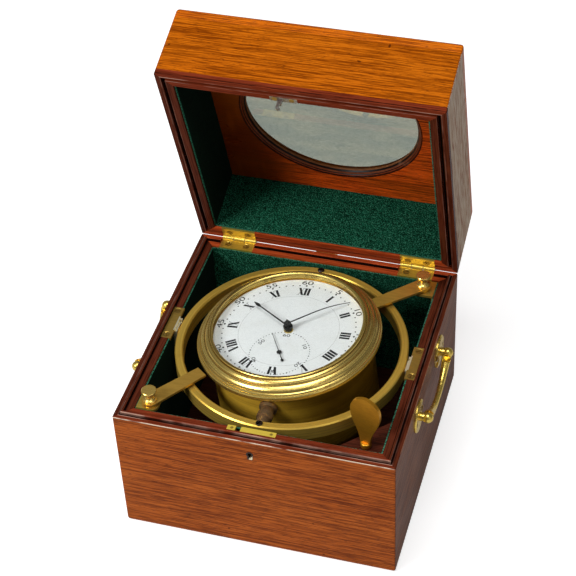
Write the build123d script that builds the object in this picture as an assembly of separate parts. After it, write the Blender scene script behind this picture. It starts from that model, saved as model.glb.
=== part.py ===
from build123d import *
import math
import os

# Outer case, all sizes in millimetres; the origin is the centre of the underside
CASE_SIDE = 184.0
WALL = 10.8
BASE_H = 100.0
FLOOR_T = 9.0
LID_GAP = 0.2
LID_H = 53.2
PANEL_T = 8.0
CORNER_R = 1.2
FOOT_R = 3.5
RIM_R = 0.25
BAIZE_T = 1.0
LID_BAIZE_T = 1.2
BAIZE_SHORT = 1.0

# Faces of the case that everything else is placed from
HALF = CASE_SIDE / 2
INNER = HALF - WALL
LINED = INNER - BAIZE_T
LID_Z0 = BASE_H + LID_GAP
LID_Z1 = LID_Z0 + LID_H
PANEL_Z0 = LID_Z1 - PANEL_T
BEYOND = 2 * CASE_SIDE

# Tongue on the base rim and the groove it enters in the lid
TONGUE_T0 = 4.05
TONGUE_W = 1.9
TONGUE_H = 2.2
TONGUE_R = 0.9
GROOVE_SIDE_GAP = 0.25
GROOVE_DEPTH = 3.4

# Hinges
LID_OPEN = 72.4
HINGE_W = 24.0
HINGE_X0 = HALF - 40.0
HINGE_X1 = HINGE_X0 + HINGE_W
HINGE_Y = HALF
HINGE_Z = BASE_H + LID_GAP / 2
HINGE_SCREW_IN = 5.5
LEAF_T = 1.8
KNUCKLE_R = 2.0
KNUCKLE_END_GAP = 0.3
KNUCKLE_CLEAR = 0.35
HINGE_PIN_R = 0.8
HINGE_PIN_FIT = 0.05
HINGE_NOTCH = 0.5
STOP_X = -1.65
STOP_W = 13.7
STOP_H = 14.0
STOP_D = 6.5
STOP_NEAR_LOW = 0.3
STOP_FAR_LOW = 1.05

# Countersunk wood screws
SCREW_HEAD_R = 2.2
SCREW_HEAD_H = 1.3
SCREW_SHANK_R = 1.1
SCREW_L = 9.0
SHORT_SCREW_L = 8.0
SLOT_W = 0.8
SLOT_D = 0.9
SINK_MARGIN = 0.3
SINK_D = 0.45

# Round window in the lid
WINDOW_R = 59.6
GLASS_R = 62.3
GLASS_T = 1.5
GLASS_TOP_LIP = 1.7
WINDOW_SEAT_R = GLASS_R + 0.3
WINDOW_RING_R = 58.7
WINDOW_RING_MOUTH_R = 61.8

# Lock and its keyhole
LOCK_X0 = -18.5
LOCK_X1 = 13.3
LOCK_Y0 = -INNER - 3.1
LOCK_PIN_R = 1.0
LOCK_PIN_IN = 3.0
LOCK_CASE_X0 = -17.0
LOCK_CASE_X1 = 12.0
LOCK_CASE_Z0 = BASE_H - 22.0
LOCK_CASE_Z1 = BASE_H - LEAF_T
LOCK_CASE_D = 7.2
LOCK_CASE_Y0 = -INNER - LOCK_CASE_D
LOCK_CASE_T = 1.0
KEYHOLE_X = -1.5
KEYHOLE_Z = BASE_H - 12.2
KEYHOLE_R = 1.35
KEYHOLE_RIM = 0.95

# Hook of the lid and the bolt that holds it
HOOK_X = -11.4
HOOK_W = 2.8
HOOK_T = 1.9
HOOK_Y = -INNER - 1.45
HOOK_L = 8.0
HOOK_SLOT_GAP = 0.3
HOOK_PLATE_X0 = -18.5
HOOK_PLATE_X1 = -1.0
HOOK_PLATE_Y0 = -INNER - 3.3
HOOK_PLATE_Y1 = -INNER + 0.9
HOOK_SCREW_Y = -INNER - 1.2
HOOK_SCREW_R = 1.7
HOOK_SCREW_RISE = 0.08
NOTCH_D = 1.4
NOTCH_Z0 = BASE_H - 6.6
NOTCH_H = 2.4
BOLT_H = 1.8
BOLT_T = 1.8
BOLT_X0 = HOOK_X + HOOK_W / 2 + 1.0
BOLT_L = 17.0

# Gimbal: the brackets stand on the lining, the ring runs between their lugs
PIVOT_Z = BASE_H - 6.2
LUG_X = LINED - 2.5
LUG_HALF = 6.5
LUG_Z0 = BASE_H - 16.0
LUG_Z1 = BASE_H - 1.2
LUG_R = 3.0
LUG_CUT_Y0 = 2.9
LUG_CUT_Y1 = 4.5
LUG_CUT_D = 2.6
BRACKET_X0 = LINED - 1.0
BRACKET_X1 = INNER + 4.8
BRACKET_HALF = 15.0
BRACKET_T = 1.8
BRACKET_SCREW_IN = 3.4
RING_GAP = 0.7
RING_R = LUG_X - RING_GAP
RING_BORE = RING_R - 5.5
RING_H = 11.0
RING_EDGE = 0.8
RING_TOP = PIVOT_Z + RING_H / 2
SET_SCREW_R = 2.3
SET_SCREW_H = 1.0
PIN_X_R = 2.0
PIN_Y_R = 1.9
PIN_FIT = 0.05
PIN_Y_IN = RING_BORE - 9.2

# Bowl, bezel and dial, drawn level and then leaned by the angle found in the photo
BOWL_LEAN = -5.2
DIAL_R = 50.0
DIAL_TOP = PIVOT_Z + 17.0
DIAL_T = 1.2
DIAL_HOLE_R = 2.8
BOWL_R = DIAL_R + 4.0
BOWL_WALL = 1.8
BOWL_TOP = DIAL_TOP - 0.1
BOWL_BOTTOM = PIVOT_Z - 57.8
BOWL_ROUND = 16.0
BOWL_BEAD = 1.0
BEZEL_R = DIAL_R + 11.0
BEZEL_Z0 = BOWL_TOP - 5.2
BEZEL_TOP = BEZEL_Z0 + 12.1
BEZEL_BORE = DIAL_R - 0.5
BEZEL_FIT = 0.06
BEZEL_SEAT_GAP = 0.3
BEZEL_LIP_T = 0.8
DIAL_GLASS_R = DIAL_R + 0.9
DIAL_GLASS_T = 1.4
DIAL_GLASS_GAP = 0.1
DOME_R = BEZEL_BORE - 0.3
DOME_RISE = 5.6
MOVEMENT_R = 40.0
MOVEMENT_H = 32.0
MOVEMENT_RING_T = 4.4
SECONDS_Y = -0.438 * DIAL_R
TRUNNION_R = 4.2
TRUNNION_COLLAR_R = 5.2
TRUNNION_FOOT_R = 6.0
TRUNNION_END = RING_BORE - 0.8
TRUNNION_BORE_IN = PIN_Y_IN - 0.3

# Hands
ARBOR_R = 0.9
SECONDS_ARBOR_R = 0.5
HAND_FIT = 0.06
PIPE_WALL = 0.6
SECONDS_Z = DIAL_TOP + 0.9
SECONDS_T = 0.4
SECONDS_PIPE = 0.6
HOUR_Z = DIAL_TOP + 3.6
MINUTE_Z = DIAL_TOP + 6.0
HAND_T = 0.35
HOUR_HUB_R = 3.1
HOUR_HUB_H = 1.3
HOUR_PIPE_R = 2.1
BOSS_R = 2.2
BOSS_H = 0.7
PEAK_HALF = 1.5
PEAK_TOP_HALF = 0.15
PEAK_H = 2.9
MINUTE_L = 0.91 * DIAL_R
MINUTE_TURN = 48.5
MINUTE_FLAT = 0.36 * DIAL_R
MINUTE_DROP = 4.5
HOUR_L = 0.704 * DIAL_R
HOUR_TURN = 304.3
SECONDS_L = 0.385 * DIAL_R
SECONDS_TAIL = 0.18 * DIAL_R
SECONDS_DISC_R = 1.7
SECONDS_WEIGHT_R = 1.0
SECONDS_TURN = 330.0

# Lock arms, their studs and thumb nuts
NUT_X = LINED - 8.0
RIGHT_NUT_Y = LINED - 8.0
LEFT_NUT_Y = LINED - 5.8
RIGHT_ARM_TURN = 223.1
LEFT_ARM_TURN = 232.8
ARM_END_R = BEZEL_R + 2.4
ARM_NUT_W = 11.0
ARM_END_W = 8.8
ARM_T = 1.6
ARM_Z = BASE_H + 1.7
STUD_R = 1.6
STUD_FIT = 0.05
WASHER_R = 4.2
FLAT_GAP = 0.05
NUT_TOP = BASE_H + 12.0
NUT_CAP_T = 2.6
NUT_DISC_R = 4.9
NUT_COLLAR_R = 4.4
NUT_WAIST_R = 2.4
PLATE_T = 1.8
PLATE_CORNER_R = 4.0
FLANGE_T = 1.0
FLANGE_H = 14.0

# Winding key in its corner block
KEY_X = LINED - 13.2
KEY_Y = -LINED + 13.4
KEY_BLOCK_LEG = 39.4
KEY_BLOCK_TOP = BASE_H - 12.0
KEY_SHANK_R = 3.2
KEY_COLLAR_R = 3.6
KEY_FIT = 0.05
KEY_SHANK_Z0 = KEY_BLOCK_TOP - 28.0
KEY_LEAF_Z0 = KEY_BLOCK_TOP + 3.0
KEY_LEAF_H = 39.0
KEY_LEAF_HALF = 10.3
KEY_LEAF_T = 2.5
KEY_TURN = -14.9

# Side handles
HANDLE_Y = 30.5
HANDLE_Z = BASE_H - 15.5
ROSETTE_R = 11.25
ROSETTE_T = 1.5
ROSETTE_EDGE = 0.7
EAR_X = HALF + 6.5
EAR_R = 3.6
EAR_POST_R = 2.9
EAR_FLAT = 3.3
BAIL_PIN_R = 1.5
BAIL_FIT = 0.05
BAIL_GAP = 0.3
BAIL_DROP = 11.0
BAIL_MID_R = 1.9
BAIL_END_R = 3.1
BAIL_STEPS = 7
HANDLE_SCREW_Y = 7.5


def block(x0, x1, y0, y1, z0, z1):
    """A box given by its six limits."""
    centre = ((x0 + x1) / 2, (y0 + y1) / 2, (z0 + z1) / 2)
    return Pos(*centre) * Box(x1 - x0, y1 - y0, z1 - z0)


def rod_z(r, z0, z1, x=0.0, y=0.0):
    """A cylinder standing on the z direction."""
    return Pos(x, y, (z0 + z1) / 2) * Cylinder(r, z1 - z0)


def rod_x(r, x0, x1, y, z):
    """A cylinder lying along x."""
    return Pos((x0 + x1) / 2, y, z) * Rot(0, 90, 0) * Cylinder(r, x1 - x0)


def rod_y(r, y0, y1, x, z):
    """A cylinder lying along y."""
    return Pos(x, (y0 + y1) / 2, z) * Rot(90, 0, 0) * Cylinder(r, y1 - y0)


def turned(points):
    """A solid turned about the z axis from (radius, height) points."""
    profile = Plane.XZ * make_face(Polyline(*points, close=True))
    return revolve(profile, Axis.Z)


def square_ring(outer, inner, z0, z1):
    """A square frame, standing between two heights."""
    return block(-outer, outer, -outer, outer, z0, z1) - block(-inner, inner, -inner, inner, z0, z1)


def wood_screw(length=SCREW_L):
    """A slotted countersunk screw, head flush at z = 0, pointing down."""
    head = Pos(0, 0, -SCREW_HEAD_H / 2) * Cone(SCREW_SHANK_R, SCREW_HEAD_R, SCREW_HEAD_H)
    shank = rod_z(SCREW_SHANK_R, -length, -SCREW_HEAD_H)
    return head + shank


def screw_hole(length):
    """The hole for a wood screw, its countersink opened a little wider than the head."""
    narrow = SCREW_HEAD_R - SINK_MARGIN
    wide = SCREW_HEAD_R + SINK_MARGIN
    return wood_screw(length) + Pos(0, 0, -SINK_D / 2) * Cone(narrow, wide, SINK_D)


def screw_slot():
    """The driver slot of a countersunk screw."""
    return block(-SCREW_HEAD_R, SCREW_HEAD_R, -SLOT_W / 2, SLOT_W / 2, -SLOT_D, SLOT_D)


def screws_at(places, turns, length=SCREW_L):
    """Screws at places pointing down, each with its slot at its own turn."""
    holes = []
    screws = []
    for place, turn in zip(places, turns):
        where = Pos(*place) * Rot(0, 0, turn)
        holes.append(where * screw_hole(length))
        screws.append(where * (wood_screw(length) - screw_slot()))
    return holes, screws


def opened(shape):
    """A lid piece, swung from closed to the angle of the photo."""
    return shape.rotate(Axis((0, HINGE_Y, HINGE_Z), (1, 0, 0)), -LID_OPEN)


def leaned(shape):
    """A bowl piece, leaned about the trunnion axis."""
    return shape.rotate(Axis((0, 0, PIVOT_Z), (0, 1, 0)), BOWL_LEAN)


def fused(shapes):
    """One solid joined from several."""
    whole = shapes[0]
    for shape in shapes[1:]:
        whole = whole + shape
    return whole


def without(shape, cutters):
    """A shape with every cutter taken away."""
    for cutter in cutters:
        shape = shape - cutter
    return shape


def both_sides(shape):
    """A shape and its mirror image across the middle of the box."""
    return [shape, mirror(shape, Plane.YZ)]


def mitred(frame):
    """The four boards of a frame, parted at forty-five degrees."""
    corners = [(-BEYOND, -BEYOND), (BEYOND, -BEYOND), (BEYOND, BEYOND), (-BEYOND, BEYOND)]
    boards = []
    for index in range(4):
        near = corners[index]
        far = corners[(index + 1) % 4]
        wedge = extrude(make_face(Polyline((0, 0), near, far, close=True)), BEYOND)
        boards.append(frame & wedge)
    return boards


def base_block():
    """The outer form of the base with its rounded edges."""
    body = block(-HALF, HALF, -HALF, HALF, 0, BASE_H)
    body = fillet(body.edges().group_by(Axis.Z)[0], FOOT_R)
    body = fillet(body.edges().filter_by(Axis.Z), CORNER_R)
    return fillet(body.edges().group_by(Axis.Z)[-1], RIM_R)


def tongue():
    """The rounded tongue on the rim, left out at the hinges."""
    outer = HALF - TONGUE_T0
    inner = outer - TONGUE_W
    ring = square_ring(outer, inner, BASE_H - TONGUE_H, BASE_H + TONGUE_H)
    ring = fillet(ring.edges().group_by(Axis.Z)[-1], TONGUE_R)
    x0 = HINGE_X0 - HINGE_NOTCH
    x1 = HINGE_X1 + HINGE_NOTCH
    notch = block(x0, x1, 0, HALF, BASE_H, BASE_H + 2 * TONGUE_H)
    return without(ring, both_sides(notch))


def base_walls(cutters):
    """Front, right, back and left boards of the base."""
    body = base_block() + tongue()
    body = body - block(-INNER, INNER, -INNER, INNER, -1, 2 * BASE_H)
    return mitred(without(body, cutters))


def base_floor():
    """The bottom board, let in between the walls."""
    return block(-INNER, INNER, -INNER, INNER, 0, FLOOR_T)


def base_baize(cutters):
    """The green cloth glued round the inside of the base."""
    cloth = square_ring(INNER, LINED, FLOOR_T, BASE_H - BAIZE_SHORT)
    return without(cloth, cutters)


def lid_block():
    """The outer form of the closed lid with its rounded edges."""
    body = block(-HALF, HALF, -HALF, HALF, LID_Z0, LID_Z1)
    body = fillet(body.edges().group_by(Axis.Z)[-1], FOOT_R)
    body = fillet(body.edges().filter_by(Axis.Z), CORNER_R)
    return fillet(body.edges().group_by(Axis.Z)[0], RIM_R)


def lid_groove():
    """The groove the tongue enters, with solid wood left at the hinges."""
    outer = HALF - TONGUE_T0 + GROOVE_SIDE_GAP
    inner = HALF - TONGUE_T0 - TONGUE_W - GROOVE_SIDE_GAP
    ring = square_ring(outer, inner, LID_Z0 - 1, LID_Z0 + GROOVE_DEPTH)
    x0 = HINGE_X0 - HINGE_NOTCH / 2
    x1 = HINGE_X1 + HINGE_NOTCH / 2
    solid = block(x0, x1, 0, HALF, LID_Z0 - 2, LID_Z0 + 2 * GROOVE_DEPTH)
    return without(ring, both_sides(solid))


def lid_walls(cutters):
    """Front, right, back and left boards of the closed lid."""
    body = lid_block() & block(-HALF, HALF, -HALF, HALF, LID_Z0, PANEL_Z0)
    body = body - block(-INNER, INNER, -INNER, INNER, LID_Z0 - 1, LID_Z1)
    body = body - lid_groove()
    return mitred(without(body, cutters))


def lid_panel():
    """The top board with its round window seat."""
    body = lid_block() & block(-HALF, HALF, -HALF, HALF, PANEL_Z0, LID_Z1)
    seat = rod_z(WINDOW_SEAT_R, PANEL_Z0 - 1, LID_Z1 - GLASS_TOP_LIP)
    return body - seat - rod_z(WINDOW_R, PANEL_Z0, LID_Z1 + 1)


def window_glass():
    """The glass disc under the lip of the window."""
    top = LID_Z1 - GLASS_TOP_LIP
    return rod_z(GLASS_R, top - GLASS_T, top)


def window_ring():
    """The coved wooden ring that holds the glass from inside."""
    top = LID_Z1 - GLASS_TOP_LIP - GLASS_T
    low = PANEL_Z0
    mid = (top + low) / 2
    points = [
        (WINDOW_SEAT_R, low),
        (WINDOW_SEAT_R, top),
        (WINDOW_RING_R, top),
        (WINDOW_RING_R, top - 0.9),
        (WINDOW_RING_R + 0.5, top - 1.5),
        (WINDOW_RING_R + 1.0, mid),
        (WINDOW_RING_MOUTH_R - 1.1, low + 1.5),
        (WINDOW_RING_MOUTH_R - 0.6, low + 0.8),
        (WINDOW_RING_MOUTH_R, low + 0.6),
        (WINDOW_RING_MOUTH_R, low),
    ]
    return turned(points)


def lid_baize(cutters):
    """The green cloth glued round the inside of the lid walls."""
    inner = INNER - LID_BAIZE_T
    cloth = square_ring(INNER, inner, LID_Z0 + LID_BAIZE_T, PANEL_Z0)
    return without(cloth, cutters)


def knuckle_rods(radius, gap):
    """Rods on the hinge axis: the outer two, then the middle one."""
    third = HINGE_W / 3
    a = HINGE_X0
    b = HINGE_X0 + third
    c = HINGE_X1 - third
    d = HINGE_X1
    outer = [
        rod_x(radius, a - gap, b + gap, HINGE_Y, HINGE_Z),
        rod_x(radius, c - gap, d + gap, HINGE_Y, HINGE_Z),
    ]
    middle = rod_x(radius, b - gap, c + gap, HINGE_Y, HINGE_Z)
    return outer, middle


def hinge_leaf_base():
    """A base leaf with its two outer knuckles."""
    outer, middle = knuckle_rods(KNUCKLE_R, 0)
    clear = knuckle_rods(KNUCKLE_R + KNUCKLE_CLEAR, KNUCKLE_END_GAP)[1]
    leaf = block(HINGE_X0, HINGE_X1, INNER, HALF, BASE_H - LEAF_T, BASE_H) - clear
    leaf = fused([leaf] + outer) - clear
    return leaf - rod_x(HINGE_PIN_R, HINGE_X0 - 1, HINGE_X1 + 1, HINGE_Y, HINGE_Z)


def hinge_leaf_lid():
    """A lid leaf with its middle knuckle."""
    middle = knuckle_rods(KNUCKLE_R, -KNUCKLE_END_GAP)[1]
    clear = knuckle_rods(KNUCKLE_R + KNUCKLE_CLEAR, KNUCKLE_END_GAP)[0]
    leaf = without(block(HINGE_X0, HINGE_X1, INNER, HALF, LID_Z0, LID_Z0 + LEAF_T), clear)
    leaf = leaf + middle
    return leaf - rod_x(HINGE_PIN_R + HINGE_PIN_FIT, HINGE_X0, HINGE_X1, HINGE_Y, HINGE_Z)


def hinge_pin():
    """A hinge pin, flush with the end knuckles."""
    return rod_x(HINGE_PIN_R, HINGE_X0, HINGE_X1, HINGE_Y, HINGE_Z)


def hinge_screw_places(z):
    """Places of the two screws in each leaf, on both hinges."""
    y = (INNER + HALF - KNUCKLE_R) / 2
    a = HINGE_X0 + HINGE_SCREW_IN
    b = HINGE_X1 - HINGE_SCREW_IN
    return [(a, y, z), (b, y, z), (-a, y, z), (-b, y, z)]


def hinges():
    """All hinge pieces, and what the base and the lid lose for them."""
    turns = [20, 75, 140, 50]
    base_holes, base_screws = screws_at(hinge_screw_places(BASE_H), turns)
    up_holes, up_screws = screws_at(hinge_screw_places(-LID_Z0), turns)
    lid_holes = [mirror(hole, Plane.XY) for hole in up_holes]
    lid_screws = [mirror(screw, Plane.XY) for screw in up_screws]
    base_leaves = [without(leaf, base_holes) for leaf in both_sides(hinge_leaf_base())]
    lid_leaves = [without(leaf, lid_holes) for leaf in both_sides(hinge_leaf_lid())]
    outer, middle = knuckle_rods(KNUCKLE_R, KNUCKLE_END_GAP)
    outer_clear, middle_clear = knuckle_rods(KNUCKLE_R + KNUCKLE_CLEAR, KNUCKLE_END_GAP)
    base_seat = block(HINGE_X0, HINGE_X1, INNER - 1, HINGE_Y, BASE_H - LEAF_T, BASE_H + 1)
    lid_seat = block(HINGE_X0, HINGE_X1, INNER - 1, HINGE_Y, LID_Z0 - 1, LID_Z0 + LEAF_T)
    base_cut = fused([base_seat, middle_clear] + outer)
    lid_cut = fused([lid_seat, middle] + outer_clear)
    return {
        "base_nodes": {
            "hinge_leaves_base": base_leaves,
            "hinge_pins": both_sides(hinge_pin()),
            "hinge_screws_base": base_screws,
        },
        "lid_nodes": {"hinge_leaves_lid": lid_leaves, "hinge_screws_lid": lid_screws},
        "base_cutters": both_sides(base_cut) + base_holes,
        "lid_cutters": both_sides(lid_cut) + lid_holes,
    }


def lid_stop():
    """The brass block that the lid comes down on when wide open."""
    far = HALF + STOP_D
    points = [
        (HALF, BASE_H - STOP_H),
        (HALF, BASE_H - STOP_NEAR_LOW),
        (far, BASE_H - STOP_FAR_LOW),
        (far, BASE_H - STOP_H + 6.0),
        (HALF + 3.0, BASE_H - STOP_H),
    ]
    face = Plane.YZ * make_face(Polyline(*points, close=True))
    return Pos(STOP_X - STOP_W / 2, 0, 0) * extrude(face, STOP_W)


def keyhole_outline(round_r, leg_half, leg_low, y0, y1):
    """A keyhole form through the front wall: a round over a straight leg."""
    eye = rod_y(round_r, y0, y1, KEYHOLE_X, KEYHOLE_Z + 1)
    left = KEYHOLE_X - leg_half
    right = KEYHOLE_X + leg_half
    return eye + block(left, right, y0, y1, KEYHOLE_Z - leg_low, KEYHOLE_Z + 1)


def lock():
    """The lock case, its top plate, the bolt and the keyhole rim."""
    slot = block(
        HOOK_X - HOOK_W / 2 - HOOK_SLOT_GAP,
        HOOK_X + HOOK_W / 2 + HOOK_SLOT_GAP,
        LOCK_Y0,
        -LINED,
        LOCK_CASE_Z1 - 2 * LOCK_CASE_T,
        BASE_H + 1,
    )
    leg = KEYHOLE_R - 0.6
    low = KEYHOLE_R + 1.05
    rim = KEYHOLE_RIM
    hole = keyhole_outline(KEYHOLE_R, leg, low, -HALF - 1, LOCK_CASE_Y0 + 2 * LOCK_CASE_T)
    rim_out = keyhole_outline(KEYHOLE_R + rim, leg + rim, low + rim, -HALF - 0.2, LOCK_CASE_Y0)
    outside = block(LOCK_CASE_X0, LOCK_CASE_X1, LOCK_CASE_Y0, -INNER, LOCK_CASE_Z0, LOCK_CASE_Z1)
    t = LOCK_CASE_T
    inside = block(
        LOCK_CASE_X0 + t,
        LOCK_CASE_X1 - t,
        LOCK_CASE_Y0 + t,
        -INNER,
        LOCK_CASE_Z0 + t,
        LOCK_CASE_Z1 - t,
    )
    plate = block(LOCK_X0, LOCK_X1, LOCK_Y0, -LINED, LOCK_CASE_Z1, BASE_H)
    cap = block(LOCK_CASE_X0, LOCK_CASE_X1, -INNER, -LINED, LOCK_CASE_Z0, LOCK_CASE_Z1)
    pins = lock_pins()
    bolt_low = NOTCH_Z0 + (NOTCH_H - BOLT_H) / 2
    bolt = block(
        BOLT_X0,
        BOLT_X0 + BOLT_L,
        HOOK_Y - BOLT_T / 2,
        HOOK_Y + BOLT_T / 2,
        bolt_low,
        bolt_low + BOLT_H,
    )
    return {
        "lock_plate": without(plate + cap - slot, pins),
        "lock_case": without(outside - inside - slot - hole, pins),
        "lock_pins": pins,
        "lock_bolt": bolt,
        "keyhole_rim": rim_out - hole,
        "cutters": [outside, plate, rim_out] + pins,
        "cloth_cutters": [plate, cap],
    }


def lock_pins():
    """Two small round pins that hold the lock plate at its ends."""
    y = (LOCK_Y0 - LINED) / 2
    ends = (LOCK_X0 + LOCK_PIN_IN, LOCK_X1 - LOCK_PIN_IN)
    return [rod_z(LOCK_PIN_R, BASE_H - SHORT_SCREW_L, BASE_H, x, y) for x in ends]


def hook():
    """The plate on the lid rim and the notched hook that enters the lock."""
    plate = block(
        HOOK_PLATE_X0, HOOK_PLATE_X1, HOOK_PLATE_Y0, HOOK_PLATE_Y1, LID_Z0, LID_Z0 + LEAF_T
    )
    left = HOOK_X - HOOK_W / 2
    right = HOOK_X + HOOK_W / 2
    near = HOOK_Y - HOOK_T / 2
    far = HOOK_Y + HOOK_T / 2
    tip = LID_Z0 - HOOK_L
    stem = block(left, right, near, far, tip, LID_Z0 + LEAF_T)
    stem = chamfer(stem.edges().filter_by(Axis.Y).group_by(Axis.Z)[0], 0.8)
    notch = block(right - NOTCH_D, right + 1, near - 1, far + 1, NOTCH_Z0, NOTCH_Z0 + NOTCH_H)
    heads = []
    for x in (HOOK_PLATE_X0 + 3.0, HOOK_PLATE_X1 - 3.6):
        head = rod_z(HOOK_SCREW_R, LID_Z0 - HOOK_SCREW_RISE, LID_Z0 + 0.8, x, HOOK_SCREW_Y)
        head = chamfer(head.edges().group_by(Axis.Z)[0], HOOK_SCREW_RISE)
        shank = rod_z(SCREW_SHANK_R, LID_Z0, LID_Z0 + SHORT_SCREW_L, x, HOOK_SCREW_Y)
        heads.append(head + shank)
    return {
        "hook_plate": without(plate - stem, heads),
        "lid_hook": stem - notch,
        "hook_screws": heads,
        "cutters": [plate, stem] + heads,
    }


def bracket_body():
    """The right bracket before its pivot hole: rim plate, back and lug."""
    plate = block(BRACKET_X0, BRACKET_X1, -BRACKET_HALF, BRACKET_HALF, BASE_H - BRACKET_T, BASE_H)
    back = block(LINED - 0.1, INNER, -LUG_HALF, LUG_HALF, LUG_Z0, BASE_H - BRACKET_T)
    lug = block(LUG_X, LINED, -LUG_HALF, LUG_HALF, LUG_Z0, LUG_Z1)
    lug = fillet(lug.edges().filter_by(Axis.X).group_by(Axis.Z)[0], LUG_R)
    lug = lug - block(LUG_X - 1, LINED, LUG_CUT_Y0, LUG_CUT_Y1, LUG_Z1 - LUG_CUT_D, LUG_Z1 + 1)
    return fused([plate, back, lug])


def brackets():
    """Both ring brackets with their four screws."""
    x = (BRACKET_X0 + BRACKET_X1) / 2 + 0.5
    y = BRACKET_HALF - BRACKET_SCREW_IN
    places = [(x, y, BASE_H), (x, -y, BASE_H), (-x, y, BASE_H), (-x, -y, BASE_H)]
    holes, screws = screws_at(places, [30, 80, 10, 120], SHORT_SCREW_L)
    whole = bracket_body()
    pivot = rod_x(PIN_X_R + PIN_FIT, LUG_X - 1, LINED + 0.4, 0, PIVOT_Z)
    right = without(whole - pivot, holes)
    outlines = both_sides(whole)
    return {
        "ring_bracket_right": right,
        "ring_bracket_left": without(mirror(whole - pivot, Plane.YZ), holes),
        "bracket_screws": screws,
        "cutters": outlines + holes,
        "cloth_cutters": outlines,
    }


def gimbal_ring(cutters):
    """The turned gimbal ring with softened edges."""
    low = RING_TOP - RING_H
    ring = rod_z(RING_R, low, RING_TOP) - rod_z(RING_BORE, low - 1, RING_TOP + 1)
    ring = chamfer(ring.edges().filter_by(GeomType.CIRCLE), RING_EDGE)
    return without(ring, cutters)


def ring_pins():
    """Pins from the ring into the brackets, and from the ring into the bowl."""
    outward = rod_x(PIN_X_R, RING_BORE + 0.2, LINED - 0.1, 0, PIVOT_Z)
    inward = rod_y(PIN_Y_R, PIN_Y_IN, RING_R - 0.2, 0, PIVOT_Z)
    return both_sides(outward), [inward, mirror(inward, Plane.XZ)]


def ring_screws():
    """The two slotted set screws over the inward pins."""
    screws = []
    holes = []
    middle = (RING_R + RING_BORE) / 2
    top = RING_TOP + SET_SCREW_H
    for side, turn in ((1, 15), (-1, 65)):
        shank = rod_z(SCREW_SHANK_R, PIVOT_Z + PIN_Y_R, RING_TOP, 0, side * middle)
        head = rod_z(SET_SCREW_R, RING_TOP, top, 0, side * middle)
        head = chamfer(head.edges().group_by(Axis.Z)[-1], 0.4)
        slot = Pos(0, side * middle, top) * Rot(0, 0, turn) * Box(6, SLOT_W, 2 * SLOT_D)
        screws.append(shank + head - slot)
        holes.append(shank)
    return screws, holes


def gimbal():
    """The ring with its pins and set screws."""
    outward, inward = ring_pins()
    screws, holes = ring_screws()
    return {
        "gimbal_ring": gimbal_ring(outward + inward + holes),
        "ring_pivot_pins": outward,
        "bowl_pivot_pins": inward,
        "ring_set_screws": screws,
    }


def bowl_outside():
    """The outer form of the bowl, rounded at the bottom."""
    r = BOWL_R
    flat_r = r - BOWL_ROUND
    turn_z = BOWL_BOTTOM + BOWL_ROUND
    base = Line((0, BOWL_BOTTOM), (flat_r, BOWL_BOTTOM))
    curve = RadiusArc((flat_r, BOWL_BOTTOM), (r, turn_z), -BOWL_ROUND)
    side = Line((r, turn_z), (r, BOWL_TOP))
    top = Line((r, BOWL_TOP), (0, BOWL_TOP))
    axis = Line((0, BOWL_TOP), (0, BOWL_BOTTOM))
    return revolve(Plane.XZ * make_face([base, curve, side, top, axis]), Axis.Z)


def bowl():
    """The thin turned bowl with a bead below the bezel."""
    wall = BOWL_WALL
    r = BOWL_R - wall
    bend_z = BOWL_BOTTOM + BOWL_ROUND
    inside = [
        (0, BOWL_BOTTOM + wall),
        (r - BOWL_ROUND + wall, BOWL_BOTTOM + wall),
        (r - 0.3 * BOWL_ROUND, BOWL_BOTTOM + 0.35 * BOWL_ROUND),
        (r, bend_z),
        (r, BOWL_TOP + 1),
        (0, BOWL_TOP + 1),
    ]
    bead = rod_z(BOWL_R + BOWL_BEAD, BEZEL_Z0 - 3.0, BEZEL_Z0 - 1.2)
    return bowl_outside() + bead - turned(inside)


def bowl_trunnions():
    """The brass bosses on the bowl that ride on the ring's inward pins."""
    collar = (BOWL_R + TRUNNION_END) / 2
    points = [
        (0, BOWL_R - 2),
        (TRUNNION_FOOT_R, BOWL_R - 2),
        (TRUNNION_FOOT_R, BOWL_R + 1.6),
        (TRUNNION_R, BOWL_R + 2.6),
        (TRUNNION_R, collar - 2.2),
        (TRUNNION_COLLAR_R, collar - 1.7),
        (TRUNNION_COLLAR_R, collar + 2.3),
        (TRUNNION_R, collar + 2.8),
        (TRUNNION_R, TRUNNION_END - 0.6),
        (TRUNNION_R - 0.6, TRUNNION_END),
        (0, TRUNNION_END),
    ]
    post = Pos(0, 0, PIVOT_Z) * Rot(-90, 0, 0) * turned(points)
    post = post - rod_z(BOWL_R, 0, BOWL_TOP)
    post = post - rod_y(PIN_Y_R + PIN_FIT, TRUNNION_BORE_IN, TRUNNION_END + 1, 0, PIVOT_Z)
    return [post, mirror(post, Plane.XZ)]


def movement():
    """The movement as a plain drum with the two arbors that carry the hands."""
    top = DIAL_TOP - DIAL_T
    drum = rod_z(MOVEMENT_R, top - MOVEMENT_H, top)
    ring = rod_z(BOWL_R - BOWL_WALL, top - MOVEMENT_RING_T, top)
    centre = rod_z(ARBOR_R, top, MINUTE_Z + BOSS_H - FLAT_GAP)
    small = rod_z(SECONDS_ARBOR_R, top, SECONDS_Z, 0, SECONDS_Y)
    return fused([drum, ring, centre, small])


def dial():
    """The enamel dial disc, open wide round the hands' pipes and close round the seconds arbor."""
    disc = rod_z(DIAL_R, DIAL_TOP - DIAL_T, DIAL_TOP)
    disc = disc - rod_z(DIAL_HOLE_R, 0, DIAL_TOP + 1)
    return disc - rod_z(SECONDS_ARBOR_R, 0, DIAL_TOP + 1, 0, SECONDS_Y)


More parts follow.
